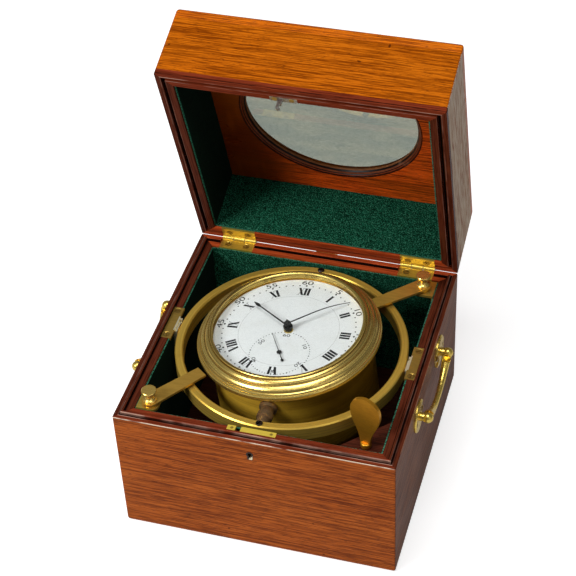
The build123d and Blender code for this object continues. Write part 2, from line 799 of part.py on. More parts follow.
def bezel():
    """The stepped bezel, turned in one piece."""
    seat = BOWL_TOP + BEZEL_SEAT_GAP
    bore = BOWL_R + BEZEL_FIT
    under_lip = BEZEL_TOP - BEZEL_LIP_T
    points = [
        (bore, BEZEL_Z0),
        (BEZEL_R - 0.4, BEZEL_Z0),
        (BEZEL_R, BEZEL_Z0 + 0.4),
        (BEZEL_R, BEZEL_Z0 + 2.8),
        (BEZEL_R - 0.4, BEZEL_Z0 + 3.4),
        (BEZEL_R - 1.2, BEZEL_Z0 + 3.6),
        (BEZEL_R - 1.3, BEZEL_Z0 + 4.1),
        (BEZEL_R - 1.7, BEZEL_Z0 + 4.8),
        (BEZEL_R - 2.3, BEZEL_Z0 + 5.1),
        (BEZEL_R - 2.4, BEZEL_Z0 + 5.7),
        (BEZEL_R - 3.1, BEZEL_Z0 + 6.8),
        (BEZEL_R - 4.2, BEZEL_Z0 + 7.7),
        (BEZEL_R - 5.4, BEZEL_Z0 + 8.3),
        (BEZEL_R - 5.5, BEZEL_Z0 + 7.9),
        (BEZEL_R - 5.9, BEZEL_Z0 + 7.9),
        (BEZEL_R - 6.1, BEZEL_Z0 + 8.7),
        (BEZEL_R - 6.7, BEZEL_Z0 + 9.5),
        (BEZEL_R - 7.5, BEZEL_Z0 + 10.2),
        (BEZEL_R - 8.5, BEZEL_Z0 + 10.7),
        (BEZEL_R - 8.6, BEZEL_Z0 + 10.3),
        (BEZEL_R - 9.0, BEZEL_Z0 + 10.3),
        (BEZEL_R - 9.2, BEZEL_Z0 + 11.0),
        (BEZEL_R - 9.4, BEZEL_TOP - 0.3),
        (BEZEL_R - 9.8, BEZEL_TOP),
        (BEZEL_BORE + 0.4, BEZEL_TOP),
        (BEZEL_BORE, BEZEL_TOP - 0.3),
        (BEZEL_BORE, under_lip),
        (DIAL_GLASS_R + DIAL_GLASS_GAP, under_lip),
        (DIAL_GLASS_R + DIAL_GLASS_GAP, seat),
        (bore, seat),
    ]
    return turned(points)


def bezel_glass():
    """The domed glass, with a flat rim held up under the lip of the bezel."""
    top = BEZEL_TOP - BEZEL_LIP_T
    low = top - DIAL_GLASS_T
    radius = (DOME_R * DOME_R + DOME_RISE * DOME_RISE) / (2 * DOME_RISE)
    outside = RadiusArc((0, top + DOME_RISE), (DOME_R, top), radius)
    upper = Line((DOME_R, top), (DIAL_GLASS_R, top))
    edge = Line((DIAL_GLASS_R, top), (DIAL_GLASS_R, low))
    under = Line((DIAL_GLASS_R, low), (DOME_R, low))
    inside = RadiusArc((DOME_R, low), (0, low + DOME_RISE), -radius)
    axis = Line((0, low + DOME_RISE), (0, top + DOME_RISE))
    return revolve(Plane.XZ * make_face([outside, upper, edge, under, inside, axis]), Axis.Z)


def hand_blade(points, z, thickness, turn, y=0.0):
    """A flat hand cut from an outline that points to twelve, then turned."""
    outline = make_face(Polyline(*points, close=True))
    blade = extrude(outline, thickness)
    return Pos(0, y, z) * Rot(0, 0, -turn) * blade


def bent_strip(width):
    """A strip pointing to twelve, level at first and then bent down to the dial."""
    half = width / 2
    run = MINUTE_L - MINUTE_FLAT
    radius = (run * run + MINUTE_DROP * MINUTE_DROP) / (2 * MINUTE_DROP)
    level = block(-half, half, 0, MINUTE_FLAT, 0, HAND_T)
    shell = rod_x(radius + HAND_T, -half, half, MINUTE_FLAT, -radius)
    shell = shell - rod_x(radius, -half - 1, half + 1, MINUTE_FLAT, -radius)
    beyond = block(-half, half, MINUTE_FLAT, MINUTE_L, -2 * MINUTE_DROP, HAND_T)
    return level + (shell & beyond)


def minute_hand():
    """The minute hand: a long bent blade under a four-sided peak, on its pipe."""
    bore = ARBOR_R + HAND_FIT
    pipe_r = bore + PIPE_WALL
    points = [(-0.5, 0), (-0.15, MINUTE_L), (0.15, MINUTE_L), (0.5, 0)]
    outline = extrude(make_face(Polyline(*points, close=True)), 4 * MINUTE_DROP, both=True)
    blade = Pos(0, 0, MINUTE_Z) * Rot(0, 0, -MINUTE_TURN) * (bent_strip(2) & outline)
    boss = rod_z(BOSS_R, MINUTE_Z, MINUTE_Z + BOSS_H)
    foot = Plane.XY.offset(MINUTE_Z + BOSS_H) * Rectangle(2 * PEAK_HALF, 2 * PEAK_HALF)
    tip_z = MINUTE_Z + BOSS_H + PEAK_H
    tip = Plane.XY.offset(tip_z) * Rectangle(2 * PEAK_TOP_HALF, 2 * PEAK_TOP_HALF)
    peak = loft([foot, tip], ruled=True)
    pipe = rod_z(pipe_r, DIAL_TOP + 0.4, MINUTE_Z + 0.1)
    return fused([blade, boss, pipe, peak]) - rod_z(bore, 0, MINUTE_Z + BOSS_H)


def hour_hand():
    """The hour hand with a small leaf near its point, on a disc and a pipe."""
    bore = ARBOR_R + HAND_FIT + PIPE_WALL + HAND_FIT
    half_outline = [
        (0.55, 0),
        (0.4, 0.8 * HOUR_L),
        (0.95, 0.85 * HOUR_L),
        (1.15, 0.89 * HOUR_L),
        (0.75, 0.94 * HOUR_L),
        (0.12, HOUR_L),
    ]
    points = [(-x, y) for x, y in half_outline] + half_outline[::-1]
    blade = hand_blade(points, HOUR_Z, HAND_T, HOUR_TURN)
    low = HOUR_Z + HAND_T - HOUR_HUB_H
    hub = rod_z(HOUR_HUB_R, low, HOUR_Z + HAND_T)
    pipe = rod_z(HOUR_PIPE_R, DIAL_TOP - 0.8, low + 0.1)
    return fused([blade, hub, pipe]) - rod_z(bore, 0, BEZEL_TOP)


def seconds_hand():
    """The seconds hand with its disc and its counterweight."""
    points = [
        (-0.3, -SECONDS_TAIL + 0.8),
        (-0.12, SECONDS_L),
        (0.12, SECONDS_L),
        (0.3, -SECONDS_TAIL + 0.8),
    ]
    blade = hand_blade(points, SECONDS_Z, SECONDS_T, SECONDS_TURN, SECONDS_Y)
    angle = math.radians(SECONDS_TURN + 180)
    x = (SECONDS_TAIL - 0.8) * math.sin(angle)
    y = SECONDS_Y + (SECONDS_TAIL - 0.8) * math.cos(angle)
    weight = rod_z(SECONDS_WEIGHT_R, SECONDS_Z, SECONDS_Z + SECONDS_T, x, y)
    low = SECONDS_Z - SECONDS_PIPE
    disc = rod_z(SECONDS_DISC_R, SECONDS_Z, SECONDS_Z + SECONDS_T, 0, SECONDS_Y)
    disc = chamfer(disc.edges().group_by(Axis.Z)[-1], SECONDS_T / 2)
    pipe = rod_z(SECONDS_ARBOR_R + HAND_FIT + PIPE_WALL, low, SECONDS_Z + SECONDS_T / 2, 0, SECONDS_Y)
    whole = fused([blade, weight, disc, pipe])
    return whole - rod_z(SECONDS_ARBOR_R + HAND_FIT, 0, SECONDS_Z + FLAT_GAP, 0, SECONDS_Y)


def arm(length):
    """A lock arm from its stud hole to its square end, along +x, slimmer at the end."""
    wide = ARM_NUT_W / 2
    slim = ARM_END_W / 2
    outline = make_face(Polyline((0, -wide), (length, -slim), (length, slim), (0, wide), close=True))
    strap = Pos(0, 0, ARM_Z) * extrude(outline, ARM_T)
    strap = strap + rod_z(wide, ARM_Z, ARM_Z + ARM_T)
    return strap - rod_z(STUD_R + STUD_FIT, ARM_Z - 1, ARM_Z + ARM_T + 1)


def arm_length(nut_y, turn):
    """How long an arm is, to stop short of the bezel from a nut at (NUT_X, nut_y)."""
    angle = math.radians(turn)
    along = -(NUT_X * math.cos(angle) + nut_y * math.sin(angle))
    across = NUT_X * math.sin(angle) - nut_y * math.cos(angle)
    aside = abs(across) + ARM_END_W / 2
    return along - math.sqrt(ARM_END_R * ARM_END_R - min(aside, ARM_END_W) ** 2)


def thumb_nut():
    """A turned thumb nut with a blind bore, standing on the origin axis."""
    low = ARM_Z + ARM_T + FLAT_GAP
    points = [
        (0, low),
        (NUT_COLLAR_R, low),
        (NUT_COLLAR_R, low + 0.7),
        (NUT_COLLAR_R - 0.5, low + 1.3),
        (NUT_WAIST_R + 0.5, low + 2.0),
        (NUT_WAIST_R, low + 2.8),
        (NUT_WAIST_R, NUT_TOP - 3.0),
        (NUT_WAIST_R + 0.6, NUT_TOP - 2.2),
        (NUT_DISC_R - 0.5, NUT_TOP - 1.9),
        (NUT_DISC_R, NUT_TOP - 1.6),
        (NUT_DISC_R, NUT_TOP - 0.4),
        (NUT_DISC_R - 0.4, NUT_TOP),
        (0, NUT_TOP),
    ]
    return turned(points) - rod_z(STUD_R + STUD_FIT, low - 1, NUT_TOP - NUT_CAP_T)


def corner_bracket(nut_y):
    """A bracket in the rear right corner: plate, flange, washer boss and stud."""
    x0 = NUT_X - 5.8
    y0 = nut_y - 7.0
    y1 = LINED - 0.2
    plate = block(x0, LINED, y0, y1, BASE_H - PLATE_T, BASE_H)
    plate = fillet(plate.edges().filter_by(Axis.Z).sort_by(Axis.X)[0:2], PLATE_CORNER_R)
    flange = block(LINED - FLANGE_T, LINED, y0, y1, BASE_H - FLANGE_H, BASE_H)
    boss = rod_z(WASHER_R, BASE_H, ARM_Z - FLAT_GAP, NUT_X, nut_y)
    stud = rod_z(STUD_R, BASE_H - 4.0, NUT_TOP - NUT_CAP_T - 0.4, NUT_X, nut_y)
    return fused([plate, flange, boss, stud])


def arms():
    """Both arms, nuts and corner brackets, the left set turned half round."""
    sets = {
        "right": (RIGHT_NUT_Y, RIGHT_ARM_TURN, Rot(0, 0, 0)),
        "left": (LEFT_NUT_Y, LEFT_ARM_TURN, Rot(0, 0, 180)),
    }
    nodes = {}
    for side, (nut_y, turn, half_turn) in sets.items():
        at_nut = half_turn * Pos(NUT_X, nut_y, 0)
        length = arm_length(nut_y, turn)
        nodes["arm_" + side] = at_nut * Rot(0, 0, turn) * arm(length)
        nodes["thumb_nut_" + side] = at_nut * thumb_nut()
        nodes["corner_bracket_" + side] = half_turn * corner_bracket(nut_y)
    return nodes


def key_block():
    """The three-cornered wood block that holds the key upright."""
    far = LINED - KEY_BLOCK_LEG
    outline = Polyline((LINED, -far), (LINED, -LINED), (far, -LINED), close=True)
    body = Pos(0, 0, FLOOR_T) * extrude(make_face(outline), KEY_BLOCK_TOP - FLOOR_T)
    return body - rod_z(KEY_SHANK_R + KEY_FIT, KEY_SHANK_Z0 - 1, BASE_H, KEY_X, KEY_Y)


def winding_key():
    """The winding key: a flat leaf on a turned shank."""
    outline = [
        (0.33, 0.0),
        (0.35, 0.08),
        (0.45, 0.21),
        (0.70, 0.385),
        (0.91, 0.54),
        (1.0, 0.705),
        (0.93, 0.82),
        (0.66, 0.93),
        (0.30, 0.985),
        (0.0, 1.0),
    ]
    right = [(x * KEY_LEAF_HALF, KEY_LEAF_Z0 + z * KEY_LEAF_H) for x, z in outline]
    left = [(-x, z) for x, z in reversed(right[:-1])]
    face = Plane.XZ * make_face([Spline(*(right + left)), Line(left[-1], right[0])])
    leaf = extrude(face, KEY_LEAF_T / 2, both=True)
    collar = rod_z(KEY_COLLAR_R, KEY_BLOCK_TOP + FLAT_GAP, KEY_LEAF_Z0 + 1)
    collar = fillet(collar.edges().filter_by(GeomType.CIRCLE), 1.2)
    shank = rod_z(KEY_SHANK_R, KEY_SHANK_Z0, KEY_LEAF_Z0)
    return Pos(KEY_X, KEY_Y, 0) * Rot(0, 0, KEY_TURN) * fused([leaf, collar, shank])


def handle_plate(y):
    """A rosette on the right wall with the ear that carries the bail."""
    rosette = rod_x(ROSETTE_R, HALF, HALF + ROSETTE_T, y, HANDLE_Z)
    rosette = chamfer(rosette.edges().group_by(Axis.X)[-1], ROSETTE_EDGE)
    post = rod_x(EAR_POST_R, HALF + ROSETTE_T / 2, EAR_X, y, HANDLE_Z)
    ball = Pos(EAR_X, y, HANDLE_Z) * Sphere(EAR_R)
    whole = fused([rosette, post, ball])
    side = 1 if y > 0 else -1
    inward = y - side * (EAR_FLAT + 5)
    flat = Pos(EAR_X, inward, HANDLE_Z) * Box(12, 10, 12)
    bore = rod_y(BAIL_PIN_R + BAIL_FIT, min(y, y - side * 8), max(y, y - side * 8), EAR_X, HANDLE_Z)
    return whole - flat - bore


def bail_place(angle, radius, centre_z):
    """Point on the bow of the bail, at an angle from straight down."""
    return (EAR_X, radius * math.sin(angle), centre_z - radius * math.cos(angle))


def bail():
    """The right bail: a bow thick at both ends and slim at the middle."""
    half = HANDLE_Y - EAR_FLAT - BAIL_GAP
    radius = (half * half + BAIL_DROP * BAIL_DROP) / (2 * BAIL_DROP)
    centre_z = HANDLE_Z - BAIL_DROP + radius
    limit = math.asin(half / radius)
    sections = []
    for step in range(-BAIL_STEPS, BAIL_STEPS + 1):
        share = step / BAIL_STEPS
        angle = share * limit
        size = BAIL_MID_R + (BAIL_END_R - BAIL_MID_R) * share * share
        along = (0, math.cos(angle), math.sin(angle))
        if abs(step) == BAIL_STEPS:
            along = (0, 1, 0)
        place = Plane(bail_place(angle, radius, centre_z), x_dir=(1, 0, 0), z_dir=along)
        sections.append(place * Circle(size))
    bow = loft(sections, ruled=True)
    near = rod_y(BAIL_PIN_R, half - 0.5, HANDLE_Y - 0.3, EAR_X, HANDLE_Z)
    far = mirror(near, Plane.XZ)
    return fused([bow, near, far])


def handles():
    """The handle pieces of both sides and their screws."""
    holes = []
    screws = []
    for y in (HANDLE_Y, -HANDLE_Y):
        for offset, turn in ((HANDLE_SCREW_Y, 25), (-HANDLE_SCREW_Y, 70)):
            where = Pos(HALF + ROSETTE_T, y + offset, HANDLE_Z) * Rot(0, 90, 0) * Rot(0, 0, turn)
            hole = where * screw_hole(SHORT_SCREW_L)
            screw = where * (wood_screw(SHORT_SCREW_L) - screw_slot())
            holes = holes + both_sides(hole)
            screws = screws + both_sides(screw)
    right = [handle_plate(HANDLE_Y), handle_plate(-HANDLE_Y)]
    right = [without(plate, holes) for plate in right]
    return {
        "handle_plates_right": right,
        "handle_plates_left": [mirror(plate, Plane.YZ) for plate in right],
        "handle_screws": screws,
        "bail_right": bail(),
        "bail_left": mirror(bail(), Plane.YZ),
        "cutters": holes,
    }


def export(name, shape):
    """Writes one node; a list of solids becomes one group."""
    if isinstance(shape, list):
        shape = Compound(children=shape)
    export_step(shape, os.path.join("parts", name + ".step"))


def base_nodes():
    """Every fixed piece of the base and of what is screwed to it."""
    hinge = hinges()
    lock_set = lock()
    bracket_set = brackets()
    handle_set = handles()
    cutters = hinge["base_cutters"] + lock_set.pop("cutters")
    cutters = cutters + bracket_set.pop("cutters") + handle_set.pop("cutters")
    cloth_cutters = lock_set.pop("cloth_cutters") + bracket_set.pop("cloth_cutters")
    front, right, back, left = base_walls(cutters)
    nodes = {
        "base_front_wall": front,
        "base_right_wall": right,
        "base_back_wall": back,
        "base_left_wall": left,
        "base_floor": base_floor(),
        "base_baize": base_baize(cloth_cutters),
        "lid_stop": lid_stop(),
        "key_block": key_block(),
        "winding_key": winding_key(),
    }
    for group in (hinge["base_nodes"], lock_set, bracket_set, handle_set, arms()):
        nodes.update(group)
    return nodes


def lid_nodes():
    """Every piece of the lid, closed."""
    hinge = hinges()
    hook_set = hook()
    hook_cutters = hook_set.pop("cutters")
    front, right, back, left = lid_walls(hinge["lid_cutters"] + hook_cutters)
    nodes = {
        "lid_front_wall": front,
        "lid_right_wall": right,
        "lid_back_wall": back,
        "lid_left_wall": left,
        "lid_top_panel": lid_panel(),
        "window_ring": window_ring(),
        "window_glass": window_glass(),
        "lid_baize": lid_baize(hook_cutters),
    }
    nodes.update(hinge["lid_nodes"])
    nodes.update(hook_set)
    return nodes


def bowl_nodes():
    """Every piece that leans with the bowl, level."""
    return {
        "bowl": bowl(),
        "bowl_trunnions": bowl_trunnions(),
        "movement": movement(),
        "dial": dial(),
        "bezel": bezel(),
        "bezel_glass": bezel_glass(),
        "hour_hand": hour_hand(),
        "minute_hand": minute_hand(),
        "seconds_hand": seconds_hand(),
    }


def moved(shape, move):
    """A node after a move, whether one solid or several."""
    if isinstance(shape, list):
        return [move(solid) for solid in shape]
    return move(shape)


def main():
    """Builds and writes every node."""
    os.makedirs("parts", exist_ok=True)
    for name, shape in base_nodes().items():
        export(name, shape)
    for name, shape in gimbal().items():
        export(name, shape)
    for name, shape in bowl_nodes().items():
        export(name, moved(shape, leaned))
    for name, shape in lid_nodes().items():
        export(name, moved(shape, opened))


if __name__ == "__main__":
    main()
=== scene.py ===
import logging
import math
from collections.abc import Callable, Iterator
from contextlib import contextmanager
from dataclasses import dataclass
from enum import Enum
from functools import cache

import bpy
from mathutils import Matrix, Vector, noise

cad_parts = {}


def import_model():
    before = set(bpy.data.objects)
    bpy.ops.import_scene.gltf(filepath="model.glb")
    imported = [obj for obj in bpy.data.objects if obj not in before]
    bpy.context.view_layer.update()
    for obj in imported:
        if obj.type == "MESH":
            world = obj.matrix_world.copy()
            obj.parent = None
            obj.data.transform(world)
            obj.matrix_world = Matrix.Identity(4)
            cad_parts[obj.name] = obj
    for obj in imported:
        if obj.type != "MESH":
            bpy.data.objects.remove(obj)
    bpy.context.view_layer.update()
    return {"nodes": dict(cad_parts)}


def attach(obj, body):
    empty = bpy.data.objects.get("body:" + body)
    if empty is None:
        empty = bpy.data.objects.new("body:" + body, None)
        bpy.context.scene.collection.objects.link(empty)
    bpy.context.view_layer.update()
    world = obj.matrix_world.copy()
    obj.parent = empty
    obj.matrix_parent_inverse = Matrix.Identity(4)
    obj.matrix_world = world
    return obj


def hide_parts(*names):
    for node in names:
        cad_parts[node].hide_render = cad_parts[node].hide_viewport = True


LOG = logging.getLogger("deck_watch")

Piece = bpy.types.Object
Colour = tuple[float, float, float]
Place = tuple[float, float, float]
Spans = tuple[tuple[float, float], ...]

# Sizes are in mm and places are those in the shut box, unless a line says otherwise.
MM = 0.001
LID_OPEN = math.radians(72.4)
HINGE_Y = 92.0
HINGE_Z = 100.1
PIVOT_Z = 93.8
BOWL_LEAN = math.radians(-5.2)
DIAL_RISE = 17.0
BASE_RIM = 99.4
LID_RIM = 100.9
HALF = 92.0
GROOVE_TOP = 104.2
LID_CEILING = 145.4
LINED = 80.4
LUG_HIGHLIGHT_X = 80.1
LUG_HALF = 6.5
KEYHOLE_X = -1.5
KEYHOLE_Z = 87.8

# From one minute of the dial to the next.
DEGREES = 6.0

# From the outer faces inwards: painted shade along the feet of the tongue and in its groove, and painted
# highlights on the ridges beside them.
TONGUE_FOOT_SHADE: Spans = ((3.3, 4.0), (5.9, 6.5))
GROOVE_SHADE: Spans = ((3.9, 5.9),)
BASE_RIDGE_HIGHLIGHTS: Spans = ((2.7, 3.1), (4.1, 4.5))
LID_RIDGE_HIGHLIGHTS: Spans = ((2.9, 3.4), (6.3, 6.6))

ORIGIN = (0.0, 0.0, 0.0)
UNIT = (1.0, 1.0, 1.0)

WHITE = (1.0, 1.0, 1.0)
# Pale painted highlight on the gimbal lugs.
LUG_HIGHLIGHT = (1.0, 0.93, 0.66)
RED_PORE = (0.030, 0.006, 0.002)
# Near black: painted shade in the groove and along the tongue's feet, and the dark line along the lid rim's
# outer edge.
RIM_LINE = (0.010, 0.003, 0.002)
RIM = (0.098, 0.021, 0.009)
FRONT_RIM = (0.190, 0.031, 0.011)
LIT_RIM = (0.480, 0.075, 0.018)
# Pale painted highlight on the ridges of the joint's face.
RIDGE_HIGHLIGHT_COLOUR = (0.46, 0.27, 0.20)
# Pale grey of the painted sheen, a grazing reflection on the right-hand boards.
PAINTED_SHEEN = (0.540, 0.450, 0.340)
# Pale painted highlights along the outer edges of the base's rim.
RIGHT_EDGE_HIGHLIGHT = (0.340, 0.150, 0.080)
FRONT_EDGE_HIGHLIGHT = (0.80, 0.66, 0.50)


def lid_swing() -> Matrix:
    """The move, in metres, from the shut lid to the open one."""
    hinge = Vector((0.0, HINGE_Y * MM, HINGE_Z * MM))
    return Matrix.Translation(hinge) @ Matrix.Rotation(-LID_OPEN, 4, "X") @ Matrix.Translation(-hinge)


def dial_place() -> Matrix:
    """The move, in metres, from a level drawing at the origin to the top of the leaning dial."""
    pivot = Matrix.Translation((0.0, 0.0, PIVOT_Z * MM))
    return pivot @ Matrix.Rotation(BOWL_LEAN, 4, "Y") @ Matrix.Translation((0.0, 0.0, DIAL_RISE * MM))


class Run(Enum):
    """Which way the grain of a board runs, as the turn that brings it to the x axis."""

    ACROSS = (0.0, 0.0, 0.0)
    BACKWARD = (0.0, 0.0, -math.pi / 2)


class Turning(Enum):
    """What a brass piece was turned about, so that the tool marks run round it."""

    NONE = "none"
    RING = "ring"
    BOWL = "bowl"


@dataclass(frozen=True)
class Layer:
    """A noise, and the smooth step that makes patches of it.

    Attributes:
        along: Cells per metre along the first direction.
        across: Cells per metre along the other two; 0 for as many as along.
        detail: Octaves of finer noise.
        rough: Weight of the finer octaves.
        twist: Distortion of the cells.
        step: The noise where patches start and where they are full, and how strong they are then.
    """

    along: float
    across: float = 0.0
    detail: float = 2.0
    rough: float = 0.5
    twist: float = 0.0
    step: tuple[float, ...] = (0.0, 1.0)


class Value:
    """A number, vector, colour or shader that a tree of nodes works out."""

    def __init__(self, graph: "Graph", socket: bpy.types.NodeSocket) -> None:
        """Keeps an output socket and the graph that it is in."""
        self.graph = graph
        self.socket = socket

    def __add__(self, other: "Source") -> "Value":
        """The sum."""
        return self.graph.math("ADD", self, other)

    def __sub__(self, other: "Source") -> "Value":
        """The difference."""
        return self.graph.math("SUBTRACT", self, other)

    def __mul__(self, other: "Source") -> "Value":
        """The product."""
        return self.graph.math("MULTIPLY", self, other)

    def __abs__(self) -> "Value":
        """The number without its sign."""
        return self.graph.math("ABSOLUTE", self)

    def most(self, other: "Source") -> "Value":
        """The larger of two numbers."""
        return self.graph.math("MAXIMUM", self, other)

    def part(self, index: int) -> "Value":
        """One component of a vector: 0, 1 or 2."""
        return self.graph.put("ShaderNodeSeparateXYZ", index, {0: self})

    def radius(self) -> "Value":
        """A place's distance from the upright axis."""
        across, along = self.part(0), self.part(1)
        return self.graph.math("SQRT", across * across + along * along)

    def inset(self) -> "Value":
        """How far in from the shut box's outer faces a place is, in metres."""
        side = abs(self.part(0)).most(abs(self.part(1)))
        return self.graph.math("SUBTRACT", HALF * MM, side)

    def moved(self, turn: Place = ORIGIN, shift: Place = ORIGIN, scale: Place = UNIT) -> "Value":
        """A place scaled, then turned by angles in radians, then shifted."""
        inputs = {"Vector": self, "Rotation": turn, "Location": shift, "Scale": scale}
        return self.graph.put("ShaderNodeMapping", 0, inputs)

    def noise(self, layer: Layer) -> "Value":
        """A noise from 0 to 1.

        Args:
            layer: Its cells.

        Returns:
            The noise at this place, which is in metres.
        """
        across = layer.across or layer.along
        inputs = {"Vector": self.moved(scale=(layer.along, across, across)), "Scale": 1.0}
        inputs |= {"Detail": layer.detail, "Roughness": layer.rough, "Distortion": layer.twist}
        return self.graph.put("ShaderNodeTexNoise", "Fac", inputs)

    def step(self, low: float, high: float, top: float = 1.0) -> "Value":
        """A smooth step from 0 at low to top at high; low may be the larger."""
        inputs = {"Value": self, "From Min": low, "From Max": high, "To Min": 0.0, "To Max": top}
        return self.graph.put("ShaderNodeMapRange", "Result", inputs, interpolation_type="SMOOTHSTEP")

    def step_mm(self, low: float, high: float, top: float = 1.0) -> "Value":
        """A smooth step between two lengths in mm."""
        return self.step(low * MM, high * MM, top)

    def patches(self, layer: Layer) -> "Value":
        """The patches of a layer at this place."""
        return self.noise(layer).step(*layer.step)

    def mixed(self, share: "Source", other: object) -> "Value":
        """This colour with a share of another mixed in."""
        return self.graph.blend(share, self, other)

    def tinted(self, share: "Source", tint: Colour) -> "Value":
        """This colour with a share of it multiplied by a tint."""
        return self.graph.blend(share, self, tint, "MULTIPLY")


Source = Value | float


class Graph:
    """The nodes of a material or of the world."""

    def __init__(self, owner: bpy.types.Material | bpy.types.World) -> None:
        """Starts with no node.

        Args:
            owner: What the nodes belong to.
        """
        owner.use_nodes = True
        self.owner = owner
        self.tree = owner.node_tree
        self.tree.nodes.clear()

    def put(
        self, kind: str, output: int | str, inputs: dict[int | str, object] | None = None, **settings: object
    ) -> Value:
        """Adds a node and feeds its sockets.

        Args:
            kind: The node's type name.
            output: Which of its outputs is wanted.
            inputs: What goes into each socket: a value or a constant.
            settings: Properties to set on the node.

        Returns:
            The output.
        """
        node = self.tree.nodes.new(kind)
        for key, value in settings.items():
            setattr(node, key, value)
        for key, value in (inputs or {}).items():
            socket = node.inputs[key]
            if isinstance(value, Value):
                self.tree.links.new(value.socket, socket)
            elif socket.type == "RGBA":
                socket.default_value = (*value, 1.0)
            else:
                socket.default_value = value
        return Value(self, node.outputs[output])

    def done(self, shader: Value) -> bpy.types.Material | bpy.types.World:
        """Links a shader to the output.

        Args:
            shader: The shader.

        Returns:
            What the nodes belong to.
        """
        kind = "World" if isinstance(self.owner, bpy.types.World) else "Material"
        output = self.tree.nodes.new(f"ShaderNodeOutput{kind}")
        self.tree.links.new(shader.socket, output.inputs["Surface"])
        return self.owner

    def place(self) -> Value:
        """A point's place in metres."""
        return self.put("ShaderNodeTexCoord", "Object")

    def shut_place(self, on_lid: bool) -> Value:
        """A point's place in the shut box.

        Args:
            on_lid: Whether the point swings with the lid.

        Returns:
            The place in metres.
        """
        if not on_lid:
            return self.place()
        hinge = Vector((0.0, HINGE_Y * MM, HINGE_Z * MM))
        shift = hinge - Matrix.Rotation(LID_OPEN, 3, "X") @ hinge
        return self.place().moved(turn=(LID_OPEN, 0.0, 0.0), shift=tuple(shift))

    def math(self, operation: str, *values: Source) -> Value:
        """One arithmetic step on one or two numbers."""
        return self.put("ShaderNodeMath", 0, dict(enumerate(values)), operation=operation)

    def blend(self, share: Source, first: object, second: object, how: str = "MIX") -> Value:
        """A colour with a share of a second one blended in."""
        inputs = {0: share, 6: first, 7: second}
        return self.put("ShaderNodeMix", 2, inputs, data_type="RGBA", blend_type=how)

    def ramp(self, value: Value, *stops: tuple[float, Colour]) -> Value:
        """A colour that follows a value.

        Args:
            value: From 0 to 1.
            stops: Each stop's position and colour, at least two.

        Returns:
            The colour.
        """
        colour = self.put("ShaderNodeValToRGB", "Color", {"Fac": value})
        elements = colour.socket.node.color_ramp.elements
        while len(elements) < len(stops):
            elements.new(0.5)
        for element, (position, shade) in zip(elements, stops):
            element.position = position
            element.color = (*shade, 1.0)
        return colour

    def relief(self, height: Value, depth: float, strength: float, over: Value | None = None) -> Value:
        """A bump.

        Args:
            height: The height, from 0 to 1.
            depth: Metres for a height of 1.
            strength: The bump's weight.
            over: A bump that this one adds to.

        Returns:
            The normal.
        """
        inputs = {"Strength": strength, "Distance": depth, "Height": height}
        if over is not None:
            inputs["Normal"] = over
        return self.put("ShaderNodeBump", "Normal", inputs)

    def surface(self, **inputs: object) -> Value:
        """A Principled shader, whose sockets are named with underscores for spaces."""
        named = {key.replace("_", " "): value for key, value in inputs.items()}
        return self.put("ShaderNodeBsdfPrincipled", "BSDF", named)

    def rays(self, first: str, second: str) -> Value:
        """1 for light rays of two kinds, and 0 for the others."""
        one, other = (self.put("ShaderNodeLightPath", f"Is {kind} Ray") for kind in (first, second))
        return one.most(other)

    def mix(self, share: Value, first: Value, second: Value) -> Value:
        """A mixture of two shaders."""
        return self.put("ShaderNodeMixShader", 0, {0: share, 1: first, 2: second})


@dataclass(frozen=True)
class Finish:
    """The look of some pieces.

    Attributes:
        name: The material's name.
    """

    name: str

    def shader(self, graph: Graph) -> Value:
        """The finish's shader, worked out by the nodes of a graph."""
        raise NotImplementedError

    @cache
    def material(self) -> bpy.types.Material:
        """Builds the material the first time that it is asked for."""
        graph = Graph(bpy.data.materials.new(self.name))
        return graph.done(self.shader(graph))


@dataclass(frozen=True)
class Wood:
    """The colours of a board.

    Attributes:
        pale: The light bands.
        middle: The usual colour.
        deep: The dark bands.
        pore: The pores.
    """

    pale: Colour
    middle: Colour
    deep: Colour
    pore: Colour = RED_PORE

    def shaded(self, share: float) -> "Wood":
        """The same wood with only a share of its bands' colour, as painted shade."""
        bands = (tuple(share * part for part in band) for band in (self.pale, self.middle, self.deep))
        return Wood(*bands, self.pore)


